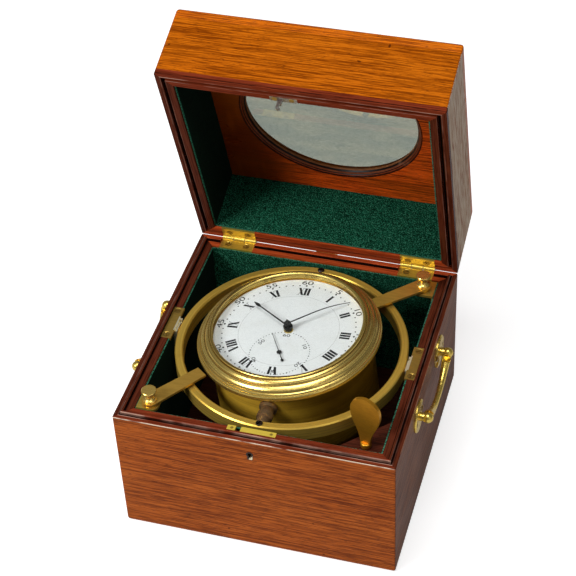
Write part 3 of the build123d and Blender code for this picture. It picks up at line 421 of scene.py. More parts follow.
@dataclass(frozen=True)
class PolishedMahogany(Finish):
    """Old french-polished mahogany with short dark pores.

    Attributes:
        wood: Its colours.
        run: Which way the grain runs.
        shift: Where in the log the board was cut, in metres.
        on_lid: Whether the board swings with the lid.
        rim: The colour where the two halves meet.
        edge: The colour of the line along the rim's outer edge, a pale painted highlight on the base and a
            dark line on the lid.
        worn: How strongly that line shows, from 0 to 1.
        rubs: How strong the painted highlights on the ridges of the joint's face are, from 0 to 1.
        gloss: Roughness of the polish.
        shine: Specular level of the polish.
        inner: The colour of the lid's underside, where it differs.
        bloom: How strong the painted sheen is, a pale grey reflection on the polish, from 0 to 1.
    """

    wood: Wood
    run: Run = Run.ACROSS
    shift: Place = ORIGIN
    on_lid: bool = False
    rim: Colour = RIM
    edge: Colour = FRONT_EDGE_HIGHLIGHT
    worn: float = 0.0
    rubs: float = 0.25
    gloss: float = 0.36
    shine: float = 0.12
    inner: Colour | None = None
    bloom: float = 0.0

    # The grain, from its broad figure to its finest threads, and how it makes the tone.
    FIGURE = Layer(5.0, 46.0, rough=0.45, twist=0.35)
    THREAD = Layer(26.0, 1400.0, detail=0.0)
    FLECK = Layer(90.0, 2300.0, detail=0.5)
    THREAD_SHARE = 0.45
    FINE_SHARE = 0.45
    TONES = (0.10, 0.48, 0.88)
    INNER_TONES = (0.30, 0.52)
    STREAKS = (0.57, 0.38, 0.85)
    STREAK_TINT = (0.38, 0.30, 0.26)
    PALE_THREADS = (0.52, 0.66, 0.40)
    PALE_TINT = (1.40, 1.45, 1.50)
    BROAD = Layer(14.0, 20.0, detail=1.0, step=(0.38, 0.72, 0.14))
    RIPPLE = Layer(150.0, 26.0, detail=1.0, step=(0.52, 0.75, 0.10))

    # Pores, nicks, painted sheen and wear, with the depths of the relief in metres.
    MARKS = Layer(240.0, 2300.0, detail=1.0, rough=0.6, step=(0.60, 0.70, 0.56))
    LONG_MARKS = Layer(70.0, 780.0, rough=0.6, step=(0.60, 0.74, 0.08))
    NICKS = Layer(170.0, 240.0, detail=0.0, step=(0.84, 0.88, 0.8))
    CLOUDED = (0.36, 0.54)
    WEAR = Layer(30.0, 60.0, detail=3.0)
    WEAR_DEPTH = 0.22
    WAVE = Layer(38.0)
    PORE_DEPTH = -0.00006
    WAVE_DEPTH = 0.0003

    # The inside of the lid, in mm, with painted shade on its left.
    UNDERSIDE = (LID_CEILING + 0.8, LID_CEILING + 0.4)
    INSIDE = (10.0, 10.4)
    AGED = (-10.0, -60.0, 0.95)
    AGED_SHARE = 0.4
    INNER_TINT = (0.28, 0.20, 0.20)

    # The joint between the two halves, in mm.
    BASE_JOINT = (BASE_RIM, BASE_RIM + 0.1)
    LID_JOINT = (GROOVE_TOP, GROOVE_TOP - 0.1)
    BASE_EDGE = BASE_RIM + 0.4
    EDGE_HEIGHT = (0.45, 0.2)
    EDGE_INSET = (0.45, 0.25)
    EDGE_PATCHES = Layer(60.0, detail=3.0, step=(0.3, 0.5))
    RUB_PATCHES = Layer(50.0, detail=3.0, step=(0.35, 0.6))
    RIM_TINT = (0.45, 0.40, 0.40)
    RIM_GLOSS = 0.22

    def rim_share(self, shut: Value) -> Value:
        """1 where the board is close to the joint between the two halves, and 0 elsewhere."""
        return shut.part(2).step_mm(*(self.LID_JOINT if self.on_lid else self.BASE_JOINT))

    def under_share(self, shut: Value) -> Value:
        """1 where the lid's top board shows inside the lid, and 0 outside."""
        return shut.part(2).step_mm(*self.UNDERSIDE) * shut.inset().step_mm(*self.INSIDE)

    def worn_share(self, shut: Value) -> Value:
        """Where a line is painted along the rim's outer edge: a painted highlight on the base, a dark line on
        the lid.

        Args:
            shut: The place in the shut box.

        Returns:
            Up to worn on the line, and 0 elsewhere.
        """
        level = LID_RIM if self.on_lid else self.BASE_EDGE
        near = abs(shut.part(2) - level * MM).step_mm(*self.EDGE_HEIGHT)
        outside = shut.inset().step_mm(*self.EDGE_INSET)
        return near * outside * (shut.patches(self.EDGE_PATCHES) * self.worn)

    @staticmethod
    def bands(inset: Value, spans: Spans, soft: float) -> Value:
        """Bands that run round the joint's face.

        Args:
            inset: How far in from the outer faces a place is.
            spans: The inner and outer side of each band, in mm.
            soft: The width in which a band fades, in mm.

        Returns:
            1 on the bands and 0 elsewhere.
        """
        share: Source = 0.0
        for start, end in spans:
            rise = inset.step_mm(start - soft, start)
            share = (rise * inset.step_mm(end + soft, end)).most(share)
        return share

    def rim_colour(self, shut: Value) -> Value:
        """The colour of the joint's face, with painted shade along the tongue's feet and in the groove, and
        painted highlights on the ridges.

        Args:
            shut: The place in the shut box.

        Returns:
            The colour.
        """
        inset = shut.inset()
        lines = self.bands(inset, GROOVE_SHADE if self.on_lid else TONGUE_FOOT_SHADE, soft=0.2)
        rubs = self.bands(inset, LID_RIDGE_HIGHLIGHTS if self.on_lid else BASE_RIDGE_HIGHLIGHTS, soft=0.1)
        patchy = shut.patches(self.RUB_PATCHES) * self.rubs
        return shut.graph.blend(lines, self.rim, RIM_LINE).mixed(rubs * patchy, RIDGE_HIGHLIGHT_COLOUR)

    def inner_colour(self, shut: Value, tone: Value, streaks: Value) -> Value:
        """The colour of the lid's underside, with painted shade on the left.

        Args:
            shut: The place in the shut box.
            tone: The tone of the grain.
            streaks: How strong its dark streaks are.

        Returns:
            The colour.
        """
        colour = shut.graph.ramp(tone, *zip(self.INNER_TONES, (self.wood.deep, self.inner)))
        # Painted shade on the left of the lid's underside.
        left_shade = tuple(self.AGED_SHARE * part for part in self.wood.deep)
        on_left = shut.part(0).step_mm(*self.AGED)
        return colour.tinted(streaks, self.INNER_TINT).mixed(on_left, left_shade)

    def shader(self, graph: Graph) -> Value:
        """The polished wood.

        Args:
            graph: The material's nodes.

        Returns:
            The shader.
        """
        wood = self.wood
        shut = graph.shut_place(self.on_lid)
        grain = shut.moved(turn=self.run.value, shift=self.shift)
        thread = grain.noise(self.THREAD) * self.THREAD_SHARE
        fine = thread + grain.noise(self.FLECK) * (1.0 - self.THREAD_SHARE)
        tone = grain.noise(self.FIGURE) * (1.0 - self.FINE_SHARE) + fine * self.FINE_SHARE
        streaks = fine.step(*self.STREAKS)
        colour = graph.ramp(tone, *zip(self.TONES, (wood.deep, wood.middle, wood.pale)))
        colour = colour.tinted(streaks, self.STREAK_TINT)
        colour = colour.tinted(fine.step(*self.PALE_THREADS), self.PALE_TINT)
        if self.inner is not None:
            colour = colour.mixed(self.under_share(shut), self.inner_colour(shut, tone, streaks))
        colour = colour.mixed(grain.patches(self.BROAD), wood.pale)
        colour = colour.mixed(grain.patches(self.RIPPLE), wood.middle)
        marks = grain.patches(self.MARKS)
        colour = colour.mixed(marks.most(grain.patches(self.LONG_MARKS)), wood.pore)
        colour = colour.mixed(grain.patches(self.NICKS), wood.pore)
        # Painted sheen: pale grey streaks that stand for a grazing reflection.
        if self.bloom:
            colour = colour.mixed(fine.step(*self.CLOUDED, self.bloom), PAINTED_SHEEN)
        at_rim = self.rim_share(shut)
        colour = colour.mixed(at_rim, self.rim_colour(shut).tinted(streaks, self.RIM_TINT))
        # The line along the rim's outer edge: a pale painted highlight on the base, a dark line on the lid.
        colour = colour.mixed(self.worn_share(shut), self.edge)

        sunk = graph.relief(marks, self.PORE_DEPTH, strength=0.6)
        wave = graph.place().noise(self.WAVE)
        wear = grain.noise(self.WEAR) * self.WEAR_DEPTH
        return graph.surface(
            Base_Color=colour,
            Roughness=at_rim * (self.RIM_GLOSS - self.gloss) + (wear + (self.gloss - self.WEAR_DEPTH / 2)),
            Specular_IOR_Level=self.shine,
            Normal=graph.relief(wave, self.WAVE_DEPTH, strength=0.25, over=sunk),
        )


@dataclass(frozen=True)
class TurnedMoulding(Finish):
    """The turned wooden ring of the window, with black painted shade in its quirks and paler painted
    highlights on its beads.

    Attributes:
        bands: From the inside out, each band's outer radius in mm and its colour; the black bands are painted
            shade and the paler ones painted highlights.
        rub: The colour of small painted glints.
    """

    bands: tuple[tuple[float, Colour], ...]
    rub: Colour = (0.42, 0.24, 0.15)

    SOFT = 0.06
    GRAIN = Layer(120.0, 700.0, step=(0.35, 0.65, 0.6))
    GRAIN_TINT = (0.45, 0.40, 0.38)
    GLINT = Layer(90.0, step=(0.62, 0.75, 0.2))

    def shader(self, graph: Graph) -> Value:
        """The turned wood.

        Args:
            graph: The material's nodes.

        Returns:
            The shader.
        """
        shut = graph.shut_place(on_lid=True)
        radius = shut.radius()
        colour = self.bands[0][1]
        for (start, _), (_, shade) in zip(self.bands, self.bands[1:]):
            colour = graph.blend(radius.step_mm(start - self.SOFT, start + self.SOFT), colour, shade)
        colour = colour.tinted(shut.patches(self.GRAIN), self.GRAIN_TINT)
        colour = colour.mixed(shut.patches(self.GLINT), self.rub)
        return graph.surface(Base_Color=colour, Roughness=0.34, Specular_IOR_Level=0.10)


@dataclass(frozen=True)
class LacqueredBrass(Finish):
    """Old brass with dull spots and fine tool marks.

    Attributes:
        clean: The colour of the clean metal.
        dull: The colour of the tarnish.
        turning: What the tool marks run round.
        tarnish: How much of the surface is dull, from 0 to 1.
        gloss: Roughness of the clean metal.
        marks: Depth of the tool marks in metres.
        metal: How mirror-like the metal still is, from 0 to 1.
        rings: How strongly dull rings run round a turned piece; on the bezel they stand partly for painted
            reflection.
        rubbed: How far out from the middle of the box the lugs carry a pale painted highlight, in mm.
        smoked: How strong the painted shade on the right-hand side is, from 0 to 1.
    """

    clean: Colour
    dull: Colour
    turning: Turning = Turning.NONE
    tarnish: float = 0.4
    gloss: float = 0.27
    marks: float = 0.000006
    metal: float = 0.8
    rings: float = 0.22
    rubbed: float = 0.0
    smoked: float = 0.0

    DRAWN = (0.12, 1.0, 1.0)
    LINES = Layer(1900.0, rough=0.7)
    BANDS = Layer(800.0, detail=1.0, step=(0.35, 0.7))
    BLOTCH = Layer(60.0, detail=4.0, rough=0.62, twist=0.4, step=(0.56, 0.90))
    FRECKLE = Layer(750.0, rough=0.6, step=(0.70, 0.78, 0.3))
    MOTTLE = Layer(210.0, detail=3.0, rough=0.6, step=(0.35, 0.75, 0.4))
    VEIL_SHIFT = 0.34
    VEIL_TOP = 1.4
    DULLING = 0.16
    LINE_DULLING = 0.08
    RUB_SOFT = 0.1
    LUG_SIDE = (LUG_HALF + 0.3, LUG_HALF)
    SMOKE = (-15.0, 40.0)
    SMOKE_TINT = (0.22, 0.18, 0.12)

    def rubbed_colour(self, place: Value, colour: Value) -> Value:
        """Paints a pale highlight on the lugs, on their side towards the middle of the box.

        Args:
            place: The place in metres.
            colour: The colour elsewhere.

        Returns:
            The colour.
        """
        inner = abs(place.part(0)).step_mm(self.rubbed + self.RUB_SOFT, self.rubbed - self.RUB_SOFT)
        on_lug = abs(place.part(1)).step_mm(*self.LUG_SIDE)
        return colour.mixed(inner * on_lug, LUG_HIGHLIGHT)

    def tool_place(self, place: Value) -> Value:
        """A vector that doesn't change round the piece: its radius and height.

        Args:
            place: The place in metres.

        Returns:
            The vector; on a piece that isn't turned, one that hardly changes along x.
        """
        if self.turning is Turning.NONE:
            return place.moved(scale=self.DRAWN)
        lean = BOWL_LEAN if self.turning is Turning.BOWL else 0.0
        level = place.moved(shift=(0.0, 0.0, -PIVOT_Z * MM)).moved(turn=(0.0, -lean, 0.0))
        return place.graph.put("ShaderNodeCombineXYZ", 0, {0: level.radius(), 1: level.part(2)})

    def shader(self, graph: Graph) -> Value:
        """The brass.

        Args:
            graph: The material's nodes.

        Returns:
            The shader.
        """
        place = graph.place()
        tool = self.tool_place(place)
        lines = tool.noise(self.LINES)
        low, high = (end - self.VEIL_SHIFT * self.tarnish for end in self.BLOTCH.step)
        veil = place.noise(self.BLOTCH).step(low, high, self.VEIL_TOP * self.tarnish)
        specks = place.patches(self.FRECKLE) * self.tarnish
        spread = veil.most(specks).most(place.patches(self.MOTTLE) * self.tarnish)
        colour = graph.blend(spread, self.clean, self.dull)
        colour = colour.mixed(tool.patches(self.BANDS) * self.rings, self.dull)
        # Pale painted highlight on the lugs.
        if self.rubbed:
            colour = self.rubbed_colour(place, colour)
        # Painted shade, darker towards the right-hand side.
        if self.smoked:
            colour = colour.tinted(place.part(0).step_mm(*self.SMOKE, self.smoked), self.SMOKE_TINT)
        return graph.surface(
            Base_Color=colour,
            Metallic=self.metal,
            Roughness=spread * self.DULLING + self.gloss + lines * self.LINE_DULLING,
            Specular_IOR_Level=0.1,
            Normal=graph.relief(lines, self.marks, strength=0.4),
        )


@dataclass(frozen=True)
class KeyholeLip(Finish):
    """The blackened rim of the keyhole, rubbed bright on its lower right by the key.

    Attributes:
        black: The colour of the blackened metal.
        bright: The colour where the key has rubbed.
    """

    black: Colour
    bright: Colour

    RUBBED = (1.6, 2.6)
    GRIT = Layer(1500.0, detail=1.0, step=(0.30, 0.50))

    def shader(self, graph: Graph) -> Value:
        """The rubbed metal.

        Args:
            graph: The material's nodes.

        Returns:
            The shader.
        """
        place = graph.place()
        slope = (place.part(0) - KEYHOLE_X * MM) - (place.part(2) - KEYHOLE_Z * MM)
        share = slope.step_mm(*self.RUBBED) * place.patches(self.GRIT)
        colour = graph.blend(share, self.black, self.bright)
        return graph.surface(Base_Color=colour, Roughness=0.4, Specular_IOR_Level=0.2)


@dataclass(frozen=True)
class OldSteel(Finish):
    """Plain or blued steel with a grey bloom.

    Attributes:
        bare: The colour of the metal.
        bloom: The colour of its stains.
        gloss: Its roughness.
        metal: How mirror-like it is, from 0 to 1.
    """

    bare: Colour
    bloom: Colour
    gloss: float = 0.3
    metal: float = 1.0

    STAIN = Layer(420.0, detail=4.0, rough=0.65, step=(0.42, 0.66))
    DULLING = 0.3
    SCRATCH = Layer(300.0, 2600.0, detail=1.0)
    SCRATCH_DEPTH = 0.00001

    def shader(self, graph: Graph) -> Value:
        """The steel.

        Args:
            graph: The material's nodes.

        Returns:
            The shader.
        """
        stain = graph.place().noise(self.STAIN)
        scratch = graph.place().noise(self.SCRATCH)
        return graph.surface(
            Base_Color=graph.blend(stain.step(*self.STAIN.step), self.bare, self.bloom),
            Metallic=self.metal,
            Roughness=stain * self.DULLING + (self.gloss - 0.4 * self.DULLING),
            Normal=graph.relief(scratch, self.SCRATCH_DEPTH, strength=0.4),
        )


@dataclass(frozen=True)
class WoolBaize(Finish):
    """Green wool baize with a short felted nap, with painted shade on the side and front walls.

    Attributes:
        soiled: How strong the painted shade on those walls is, from 0 to 1.
        edge: Height of the cut edge that shows pale fibres, in mm in the shut box.
        on_lid: Whether the cloth swings with the lid.
        wool: The colour of the cloth.
        shade: The colour between the fibres.
        lint: The colour of pale fibres and dust.
    """

    soiled: float
    edge: float = BASE_RIM
    on_lid: bool = False
    wool: Colour = (0.008, 0.100, 0.052)
    shade: Colour = (0.001, 0.014, 0.007)
    lint: Colour = (0.05, 0.20, 0.125)

    NAP = Layer(1600.0, detail=0.6)
    NAP_SHARE = 0.7
    TUFT = Layer(480.0, detail=3.0, rough=0.7, twist=0.6)
    RUBBED = Layer(30.0, detail=3.0, step=(0.40, 0.75, 0.35))
    WOOL = (0.44, 0.56)
    LINT = (0.58, 0.70, 0.9)
    SIDES = (LINED - 0.4, LINED - 1.2)
    BELOW_EDGE = (0.7, 1.6)
    SOIL_TINT = (0.05, 0.05, 0.05)
    FRAYED = (0.9, 0.5, 0.8)
    FRAYED_NAP = (0.35, 0.55)
    SHEEN_TINT = (0.35, 0.75, 0.5)
    NAP_DEPTH = 0.00015
    TUFT_DEPTH = 0.0003

    def shader(self, graph: Graph) -> Value:
        """The cloth.

        Args:
            graph: The material's nodes.

        Returns:
            The shader.
        """
        place = graph.place()
        nap = place.noise(self.NAP)
        tuft = place.noise(self.TUFT)
        fluff = nap * self.NAP_SHARE + tuft * (1.0 - self.NAP_SHARE)
        colour = graph.blend(fluff.step(*self.WOOL), self.shade, self.wool)
        colour = colour.mixed(place.patches(self.RUBBED), self.shade)
        colour = colour.mixed(nap.step(*self.LINT), self.lint)
        shut = graph.shut_place(self.on_lid)
        # Painted shade on every wall but the back one, away from the cut edge.
        from_edge = abs(shut.part(2) - self.edge * MM)
        sides = shut.part(1).step_mm(*self.SIDES, self.soiled)
        colour = colour.tinted(from_edge.step_mm(*self.BELOW_EDGE) * sides, self.SOIL_TINT)
        frayed = from_edge.step_mm(*self.FRAYED) * nap.step(*self.FRAYED_NAP)
        colour = colour.mixed(frayed, self.lint)
        tufted = graph.relief(tuft, self.TUFT_DEPTH, strength=0.7)
        return graph.surface(
            Base_Color=colour,
            Roughness=0.95,
            Specular_IOR_Level=0.03,
            Sheen_Weight=0.03,
            Sheen_Roughness=0.5,
            Sheen_Tint=self.SHEEN_TINT,
            Normal=graph.relief(nap, self.NAP_DEPTH, strength=0.8, over=tufted),
        )


@dataclass(frozen=True)
class OldGlass(Finish):
    """Glass that lets light through to what lies behind.

    Attributes:
        tint: The colour of clear places.
        haze: The colour of hazy places.
        hazy: How strongly the haze shows, from 0 to 1.
        gloss: Roughness.
        index: Refractive index of the thin pane.
    """

    tint: Colour
    haze: Colour
    hazy: float
    gloss: float = 0.01
    index: float = 1.45

    SMEAR = Layer(26.0, 70.0, detail=5.0, rough=0.68, twist=0.3, step=(0.35, 0.7))
    DUST = Layer(500.0, 800.0, detail=3.0, rough=0.65, step=(0.35, 0.65, 0.7))
    DUST_TINT = (0.62, 0.64, 0.66)

    def shader(self, graph: Graph) -> Value:
        """The glass, which is clear to shadows.

        Args:
            graph: The material's nodes.

        Returns:
            The shader.
        """
        place = graph.place()
        colour = graph.blend(place.patches(self.SMEAR) * self.hazy, self.tint, self.haze)
        colour = colour.tinted(place.patches(self.DUST) * self.hazy, self.DUST_TINT)
        glass = graph.surface(
            Base_Color=colour, Roughness=self.gloss, IOR=self.index, Transmission_Weight=1.0
        )
        clear = graph.put("ShaderNodeBsdfTransparent", 0, {"Color": colour})
        return graph.mix(graph.rays("Shadow", "Diffuse"), glass, clear)


@dataclass(frozen=True)
class DialEnamel(Finish):
    """The white ground of the dial.

    Attributes:
        white: Its colour.
        stain: The colour of faint old stains.
    """

    white: Colour
    stain: Colour

    AGE = Layer(45.0, detail=4.0, rough=0.6, step=(0.45, 0.8, 0.5))
    GRIT = Layer(1200.0, step=(0.66, 0.80, 0.35))
    GRIT_DEPTH = 0.00001

    def shader(self, graph: Graph) -> Value:
        """The enamel.

        Args:
            graph: The material's nodes.

        Returns:
            The shader.
        """
        place = graph.place()
        grit = place.noise(self.GRIT)
        colour = graph.blend(place.patches(self.AGE), self.white, self.stain)
        colour = colour.mixed(grit.step(*self.GRIT.step), self.stain)
        normal = graph.relief(grit, self.GRIT_DEPTH, strength=0.3)
        return graph.surface(Base_Color=colour, Roughness=grit * 0.15 + 0.35, Normal=normal)


@dataclass(frozen=True)
class DialInk(Finish):
    """The black paint of the dial's numerals, a little worn.

    Attributes:
        black: Its colour.
        worn: The colour where it has thinned.
    """

    black: Colour
    worn: Colour

    WEAR = Layer(900.0, detail=3.0, rough=0.7, step=(0.55, 0.75, 0.6))

    def shader(self, graph: Graph) -> Value:
        """The paint.

        Args:
            graph: The material's nodes.

        Returns:
            The shader.
        """
        wear = graph.place().noise(self.WEAR)
        colour = graph.blend(wear.step(*self.WEAR.step), self.black, self.worn)
        return graph.surface(Base_Color=colour, Roughness=wear * 0.2 + 0.35, Specular_IOR_Level=0.3)


@dataclass(frozen=True)
class Carcass:
    """The four boards of one half of the box.

    Attributes:
        half: What the names of their nodes start with.
        name: What the names of their finishes start with.
        wood: Their colours.
        cuts: Where in the log the front, back, left and right board were cut, in metres.
        worn: How strongly the line along the outer edges of their rims shows.
        edge: The colour of that line, a painted highlight where it is pale.
        right_edge: The same on the right-hand board.
        shade: The share of its bands' colour that the right-hand board keeps, as painted shade.
        bloom: How strong the painted sheen, a pale grey reflection, is on the right-hand board's polish.
        shine: Specular level of the polish.
        on_lid: Whether they swing with the lid.
    """

    half: str
    name: str
    wood: Wood
    cuts: tuple[Place, ...]
    worn: tuple[float, ...]
    edge: Colour
    right_edge: Colour
    shade: float
    bloom: float
    shine: float
    on_lid: bool

    SIDES = ("front", "back", "left", "right")
    RUNS = (Run.ACROSS, Run.ACROSS, Run.BACKWARD, Run.BACKWARD)
    RIMS = (FRONT_RIM, LIT_RIM, RIM, RIM)
    # How strong the painted highlights on each board's ridges are.
    RUBS = (0.9, 0.25, 0.25, 0.25)

    def finishes(self) -> Iterator[tuple[str, PolishedMahogany]]:
        """Works out the four finishes.

        Yields:
            Each board's node and its finish.
        """
        rows = zip(self.SIDES, self.RUNS, self.cuts, self.RIMS, self.worn, self.RUBS)
        for side, run, cut, rim, worn, rubs in rows:
            # The right-hand board gets painted shade, a painted sheen and its own edge line colour.
            right = side == "right"
            yield f"{self.half}_{side}_wall", PolishedMahogany(
                f"{self.name}_mahogany_{side}",
                self.wood.shaded(self.shade) if right else self.wood,
                run,
                cut,
                self.on_lid,
                rim,
                self.right_edge if right else self.edge,
                worn,
                rubs,
                shine=self.shine,
                bloom=self.bloom if right else 0.0,
            )


@dataclass
class Part:
    """A sub-assembly that dresses CAD nodes and may add pieces.

    Attributes:
        nodes: The CAD's nodes by name.
    """

    nodes: dict[str, Piece]

    @staticmethod
    def cover(piece: Piece, finish: Finish) -> None:
        """Gives a piece a finish in place of any other."""
        piece.data.materials.clear()
        piece.data.materials.append(finish.material())

    def dress(self, finish: Finish, *names: str) -> None:
        """Gives CAD nodes a finish.

        Args:
            finish: The finish.
            names: The nodes.
        """
        for name in names:
            self.cover(self.nodes[name], finish)
            LOG.info("%s wears %s", name, finish.name)

    def finish_piece(self, piece: Piece, finish: Finish, body: str, slot: str) -> None:
        """Gives a new piece its finish and its body.

        Args:
            piece: The piece.
            finish: Its finish.
            body: The body that it rides on.
            slot: The record's material slot; not used.
        """
        self.cover(piece, finish)
        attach(piece, body)
        LOG.info("%s rides on %s with %d faces", piece.name, body, len(piece.data.polygons))


class Bench:
    """Modelling steps that more than one sub-assembly uses."""

    @staticmethod
    def hold(*pieces: Piece) -> None:
        """Selects these pieces alone, the first one active.

        Args:
            pieces: The pieces.
        """
        bpy.ops.object.select_all(action="DESELECT")
        for piece in pieces:
            piece.select_set(True)
        bpy.context.view_layer.objects.active = pieces[0]

    @staticmethod
    def called(name: str) -> Piece:
        """Names the active piece and its mesh.

        Args:
            name: The name.

        Returns:
            The piece.
        """
        piece = bpy.context.object
        piece.name = name
        piece.data.name = name
        return piece

    @staticmethod
    def scaled(piece: Piece, *scale: float) -> Piece:
        """Scales a piece and puts its place into its mesh.

        Args:
            piece: The piece.
            scale: The scale along x, y and z.

        Returns:
            The piece.
        """
        piece.scale = scale
        Bench.hold(piece)
        bpy.ops.object.transform_apply(location=True, rotation=True, scale=True)
        return piece

    @staticmethod
    @contextmanager
    def editing(piece: Piece, mode: str = "VERT", wanted: Callable | None = None) -> Iterator[None]:
        """Holds a piece in edit mode, with some faces or edges selected or with all of it.

        Args:
            piece: The piece.
            mode: VERT, EDGE or FACE.
            wanted: Says of an edge or a face whether it is selected.

        Yields:
            Nothing.
        """
        Bench.hold(piece)
        bpy.ops.object.mode_set(mode="EDIT")
        bpy.ops.mesh.select_mode(type=mode)
        bpy.ops.mesh.select_all(action="DESELECT" if wanted else "SELECT")
        if wanted:
            bpy.ops.object.mode_set(mode="OBJECT")
            for item in piece.data.polygons if mode == "FACE" else piece.data.edges:
                item.select = wanted(item)
            bpy.ops.object.mode_set(mode="EDIT")
        yield
        bpy.ops.object.mode_set(mode="OBJECT")

    @staticmethod
    def plate(width: float, height: float, x: float = 0.0, y: float = 0.0) -> Piece:
        """A flat plate, drawn level.

        Args:
            width: Its size along x in mm.
            height: Its size along y in mm.
            x: Its centre in mm.
            y: Its centre in mm.

        Returns:
            The plate.
        """
        bpy.ops.mesh.primitive_plane_add(size=1.0, location=(x * MM, y * MM, 0.0))
        return Bench.scaled(bpy.context.object, width * MM, height * MM, 1.0)

    @staticmethod
    def join(name: str, pieces: list[Piece]) -> Piece:
        """Joins pieces into one.

        Args:
            name: The name of the result.
            pieces: At least two pieces.

        Returns:
            The joined piece.
        """
        Bench.hold(*pieces)
        bpy.ops.object.join()
        return Bench.called(name)

    @staticmethod
    def copy(piece: Piece, place: Matrix) -> Piece:
        """A copy with its own mesh, moved.

        Args:
            piece: The piece to copy.
            place: Where the copy goes.

        Returns:
            The copy.
        """
        twin = piece.copy()
        twin.data = piece.data.copy()
        twin.data.transform(place)
        bpy.context.scene.collection.objects.link(twin)
        return twin

    @staticmethod
    def thicken(piece: Piece, thickness: float) -> None:
        """Gives a flat piece a body above its drawing plane.

        Args:
            piece: The piece.
            thickness: In mm.
        """
        with Bench.editing(piece):
            bpy.ops.mesh.extrude_region_move(TRANSFORM_OT_translate={"value": (0.0, 0.0, thickness * MM)})
            bpy.ops.mesh.select_all(action="SELECT")
            bpy.ops.mesh.normals_make_consistent(inside=False)

    @staticmethod
    def drop(*pieces: Piece) -> None:
        """Removes pieces that were only patterns for copies."""
        for piece in pieces:
            bpy.data.objects.remove(piece)


@dataclass
class CaseBase(Part):
    """The lower half of the box, with its floor, lock and hinges."""

    boards: Carcass = Carcass(
        half="base",
        name="case",
        wood=Wood((0.460, 0.118, 0.017), (0.350, 0.076, 0.009), (0.200, 0.036, 0.005)),
        cuts=((0.00, 0.013, 0.031), (0.37, 0.102, 0.017), (0.71, 0.045, 0.009), (0.93, 0.011, 0.052)),
        worn=(0.8, 0.0, 0.0, 0.6),
        edge=FRONT_EDGE_HIGHLIGHT,
        right_edge=RIGHT_EDGE_HIGHLIGHT,
        shade=0.5,
        bloom=0.08,
        shine=0.06,
        on_lid=False,
    )
    # Nearly black: painted shade on the floor inside the base.
    floor: PolishedMahogany = PolishedMahogany(
        "floor_mahogany_painted_shade",
        Wood((0.060, 0.016, 0.008), (0.035, 0.009, 0.005), (0.015, 0.005, 0.003), (0.006, 0.002, 0.001)),
    )
    block: PolishedMahogany = PolishedMahogany(
        "key_block_mahogany",
        Wood((0.115, 0.026, 0.012), (0.070, 0.015, 0.007), (0.034, 0.008, 0.004)),
        shift=(0.5, 0.02, 0.2),
        gloss=0.42,
    )
    brass: LacqueredBrass = LacqueredBrass(
        "fitting_brass", (0.88, 0.64, 0.13), (0.46, 0.29, 0.05), tarnish=0.3, gloss=0.24, metal=0.85
    )
    screws: LacqueredBrass = LacqueredBrass(
        "screw_brass", (0.46, 0.30, 0.07), (0.12, 0.07, 0.02), gloss=0.3, metal=0.85
    )
    # The lugs carry a pale painted highlight.
    lugs: LacqueredBrass = LacqueredBrass(
        "bracket_brass", (0.56, 0.36, 0.08), (0.30, 0.18, 0.03), gloss=0.3, rubbed=LUG_HIGHLIGHT_X
    )
    steel: OldSteel = OldSteel("lock_steel", (0.36, 0.34, 0.31), (0.12, 0.09, 0.07))
    plate: LacqueredBrass = LacqueredBrass(
        "lock_plate_brass", (0.88, 0.66, 0.09), (0.52, 0.36, 0.04), tarnish=0.2, gloss=0.3, metal=0.4
    )
    keyhole: KeyholeLip = KeyholeLip("keyhole_brass", (0.030, 0.014, 0.008), (0.80, 0.70, 0.48))

    def build(self) -> None:
        """Dresses the boards and the fittings of the base."""
        for node, finish in self.boards.finishes():
            self.dress(finish, node)
        self.dress(self.floor, "base_floor")
        self.dress(self.block, "key_block")
        self.dress(self.brass, "lock_pins", "hinge_leaves_base", "hinge_pins", "lid_stop")
        self.dress(self.brass, "corner_bracket_left", "corner_bracket_right")
        self.dress(self.plate, "lock_plate")
        self.dress(self.keyhole, "keyhole_rim")
        self.dress(self.screws, "hinge_screws_base", "bracket_screws")
        self.dress(self.lugs, "ring_bracket_left", "ring_bracket_right")
        self.dress(self.steel, "lock_case", "lock_bolt")


@dataclass
class CaseLid(Part):
    """The hinged lid with its round window and hook."""

    boards: Carcass = Carcass(
        half="lid",
        name="lid",
        wood=Wood((0.560, 0.150, 0.006), (0.440, 0.100, 0.003), (0.290, 0.052, 0.002), (0.060, 0.010, 0.002)),
        cuts=((0.15, 0.031, 0.006), (0.64, 0.057, 0.023), (0.29, 0.083, 0.047), (0.85, 0.019, 0.071)),
        worn=(0.9, 0.0, 0.0, 0.0),
        edge=RIM_LINE,
        right_edge=RIM_LINE,
        shade=1.0,
        bloom=0.95,
        shine=0.01,
        on_lid=True,
    )
    panel: PolishedMahogany = PolishedMahogany(
        "lid_mahogany_top",
        Wood((0.700, 0.180, 0.006), (0.540, 0.115, 0.003), (0.240, 0.036, 0.002), (0.060, 0.010, 0.002)),
        shift=(0.4, 0.12, 0.21),
        on_lid=True,
        gloss=0.30,
        inner=(0.800, 0.100, 0.008),
    )
    # Black bands are painted shade in the quirks; paler bands are painted highlights on the beads.
    moulding: TurnedMoulding = TurnedMoulding(
        "window_ring_mahogany",
        (
            (59.05, (0.230, 0.085, 0.028)),
            (59.80, (0.008, 0.004, 0.003)),
            (60.70, (0.170, 0.042, 0.014)),
            (61.10, (0.010, 0.004, 0.003)),
            (61.55, (0.260, 0.046, 0.012)),
            (62.00, (0.040, 0.008, 0.004)),
        ),
    )
    glass: OldGlass = OldGlass("window_glass", (0.225, 0.250, 0.215), (0.310, 0.315, 0.245), hazy=0.8)

    def build(self) -> None:
        """Dresses the boards, the window and the fittings of the lid."""
        for node, finish in self.boards.finishes():
            self.dress(finish, node)
        self.dress(self.panel, "lid_top_panel")
        self.dress(self.moulding, "window_ring")
        self.dress(self.glass, "window_glass")
        self.dress(CaseBase.brass, "hinge_leaves_lid")
        self.dress(CaseBase.screws, "hinge_screws_lid", "hook_screws")
        self.dress(CaseBase.steel, "hook_plate", "lid_hook")


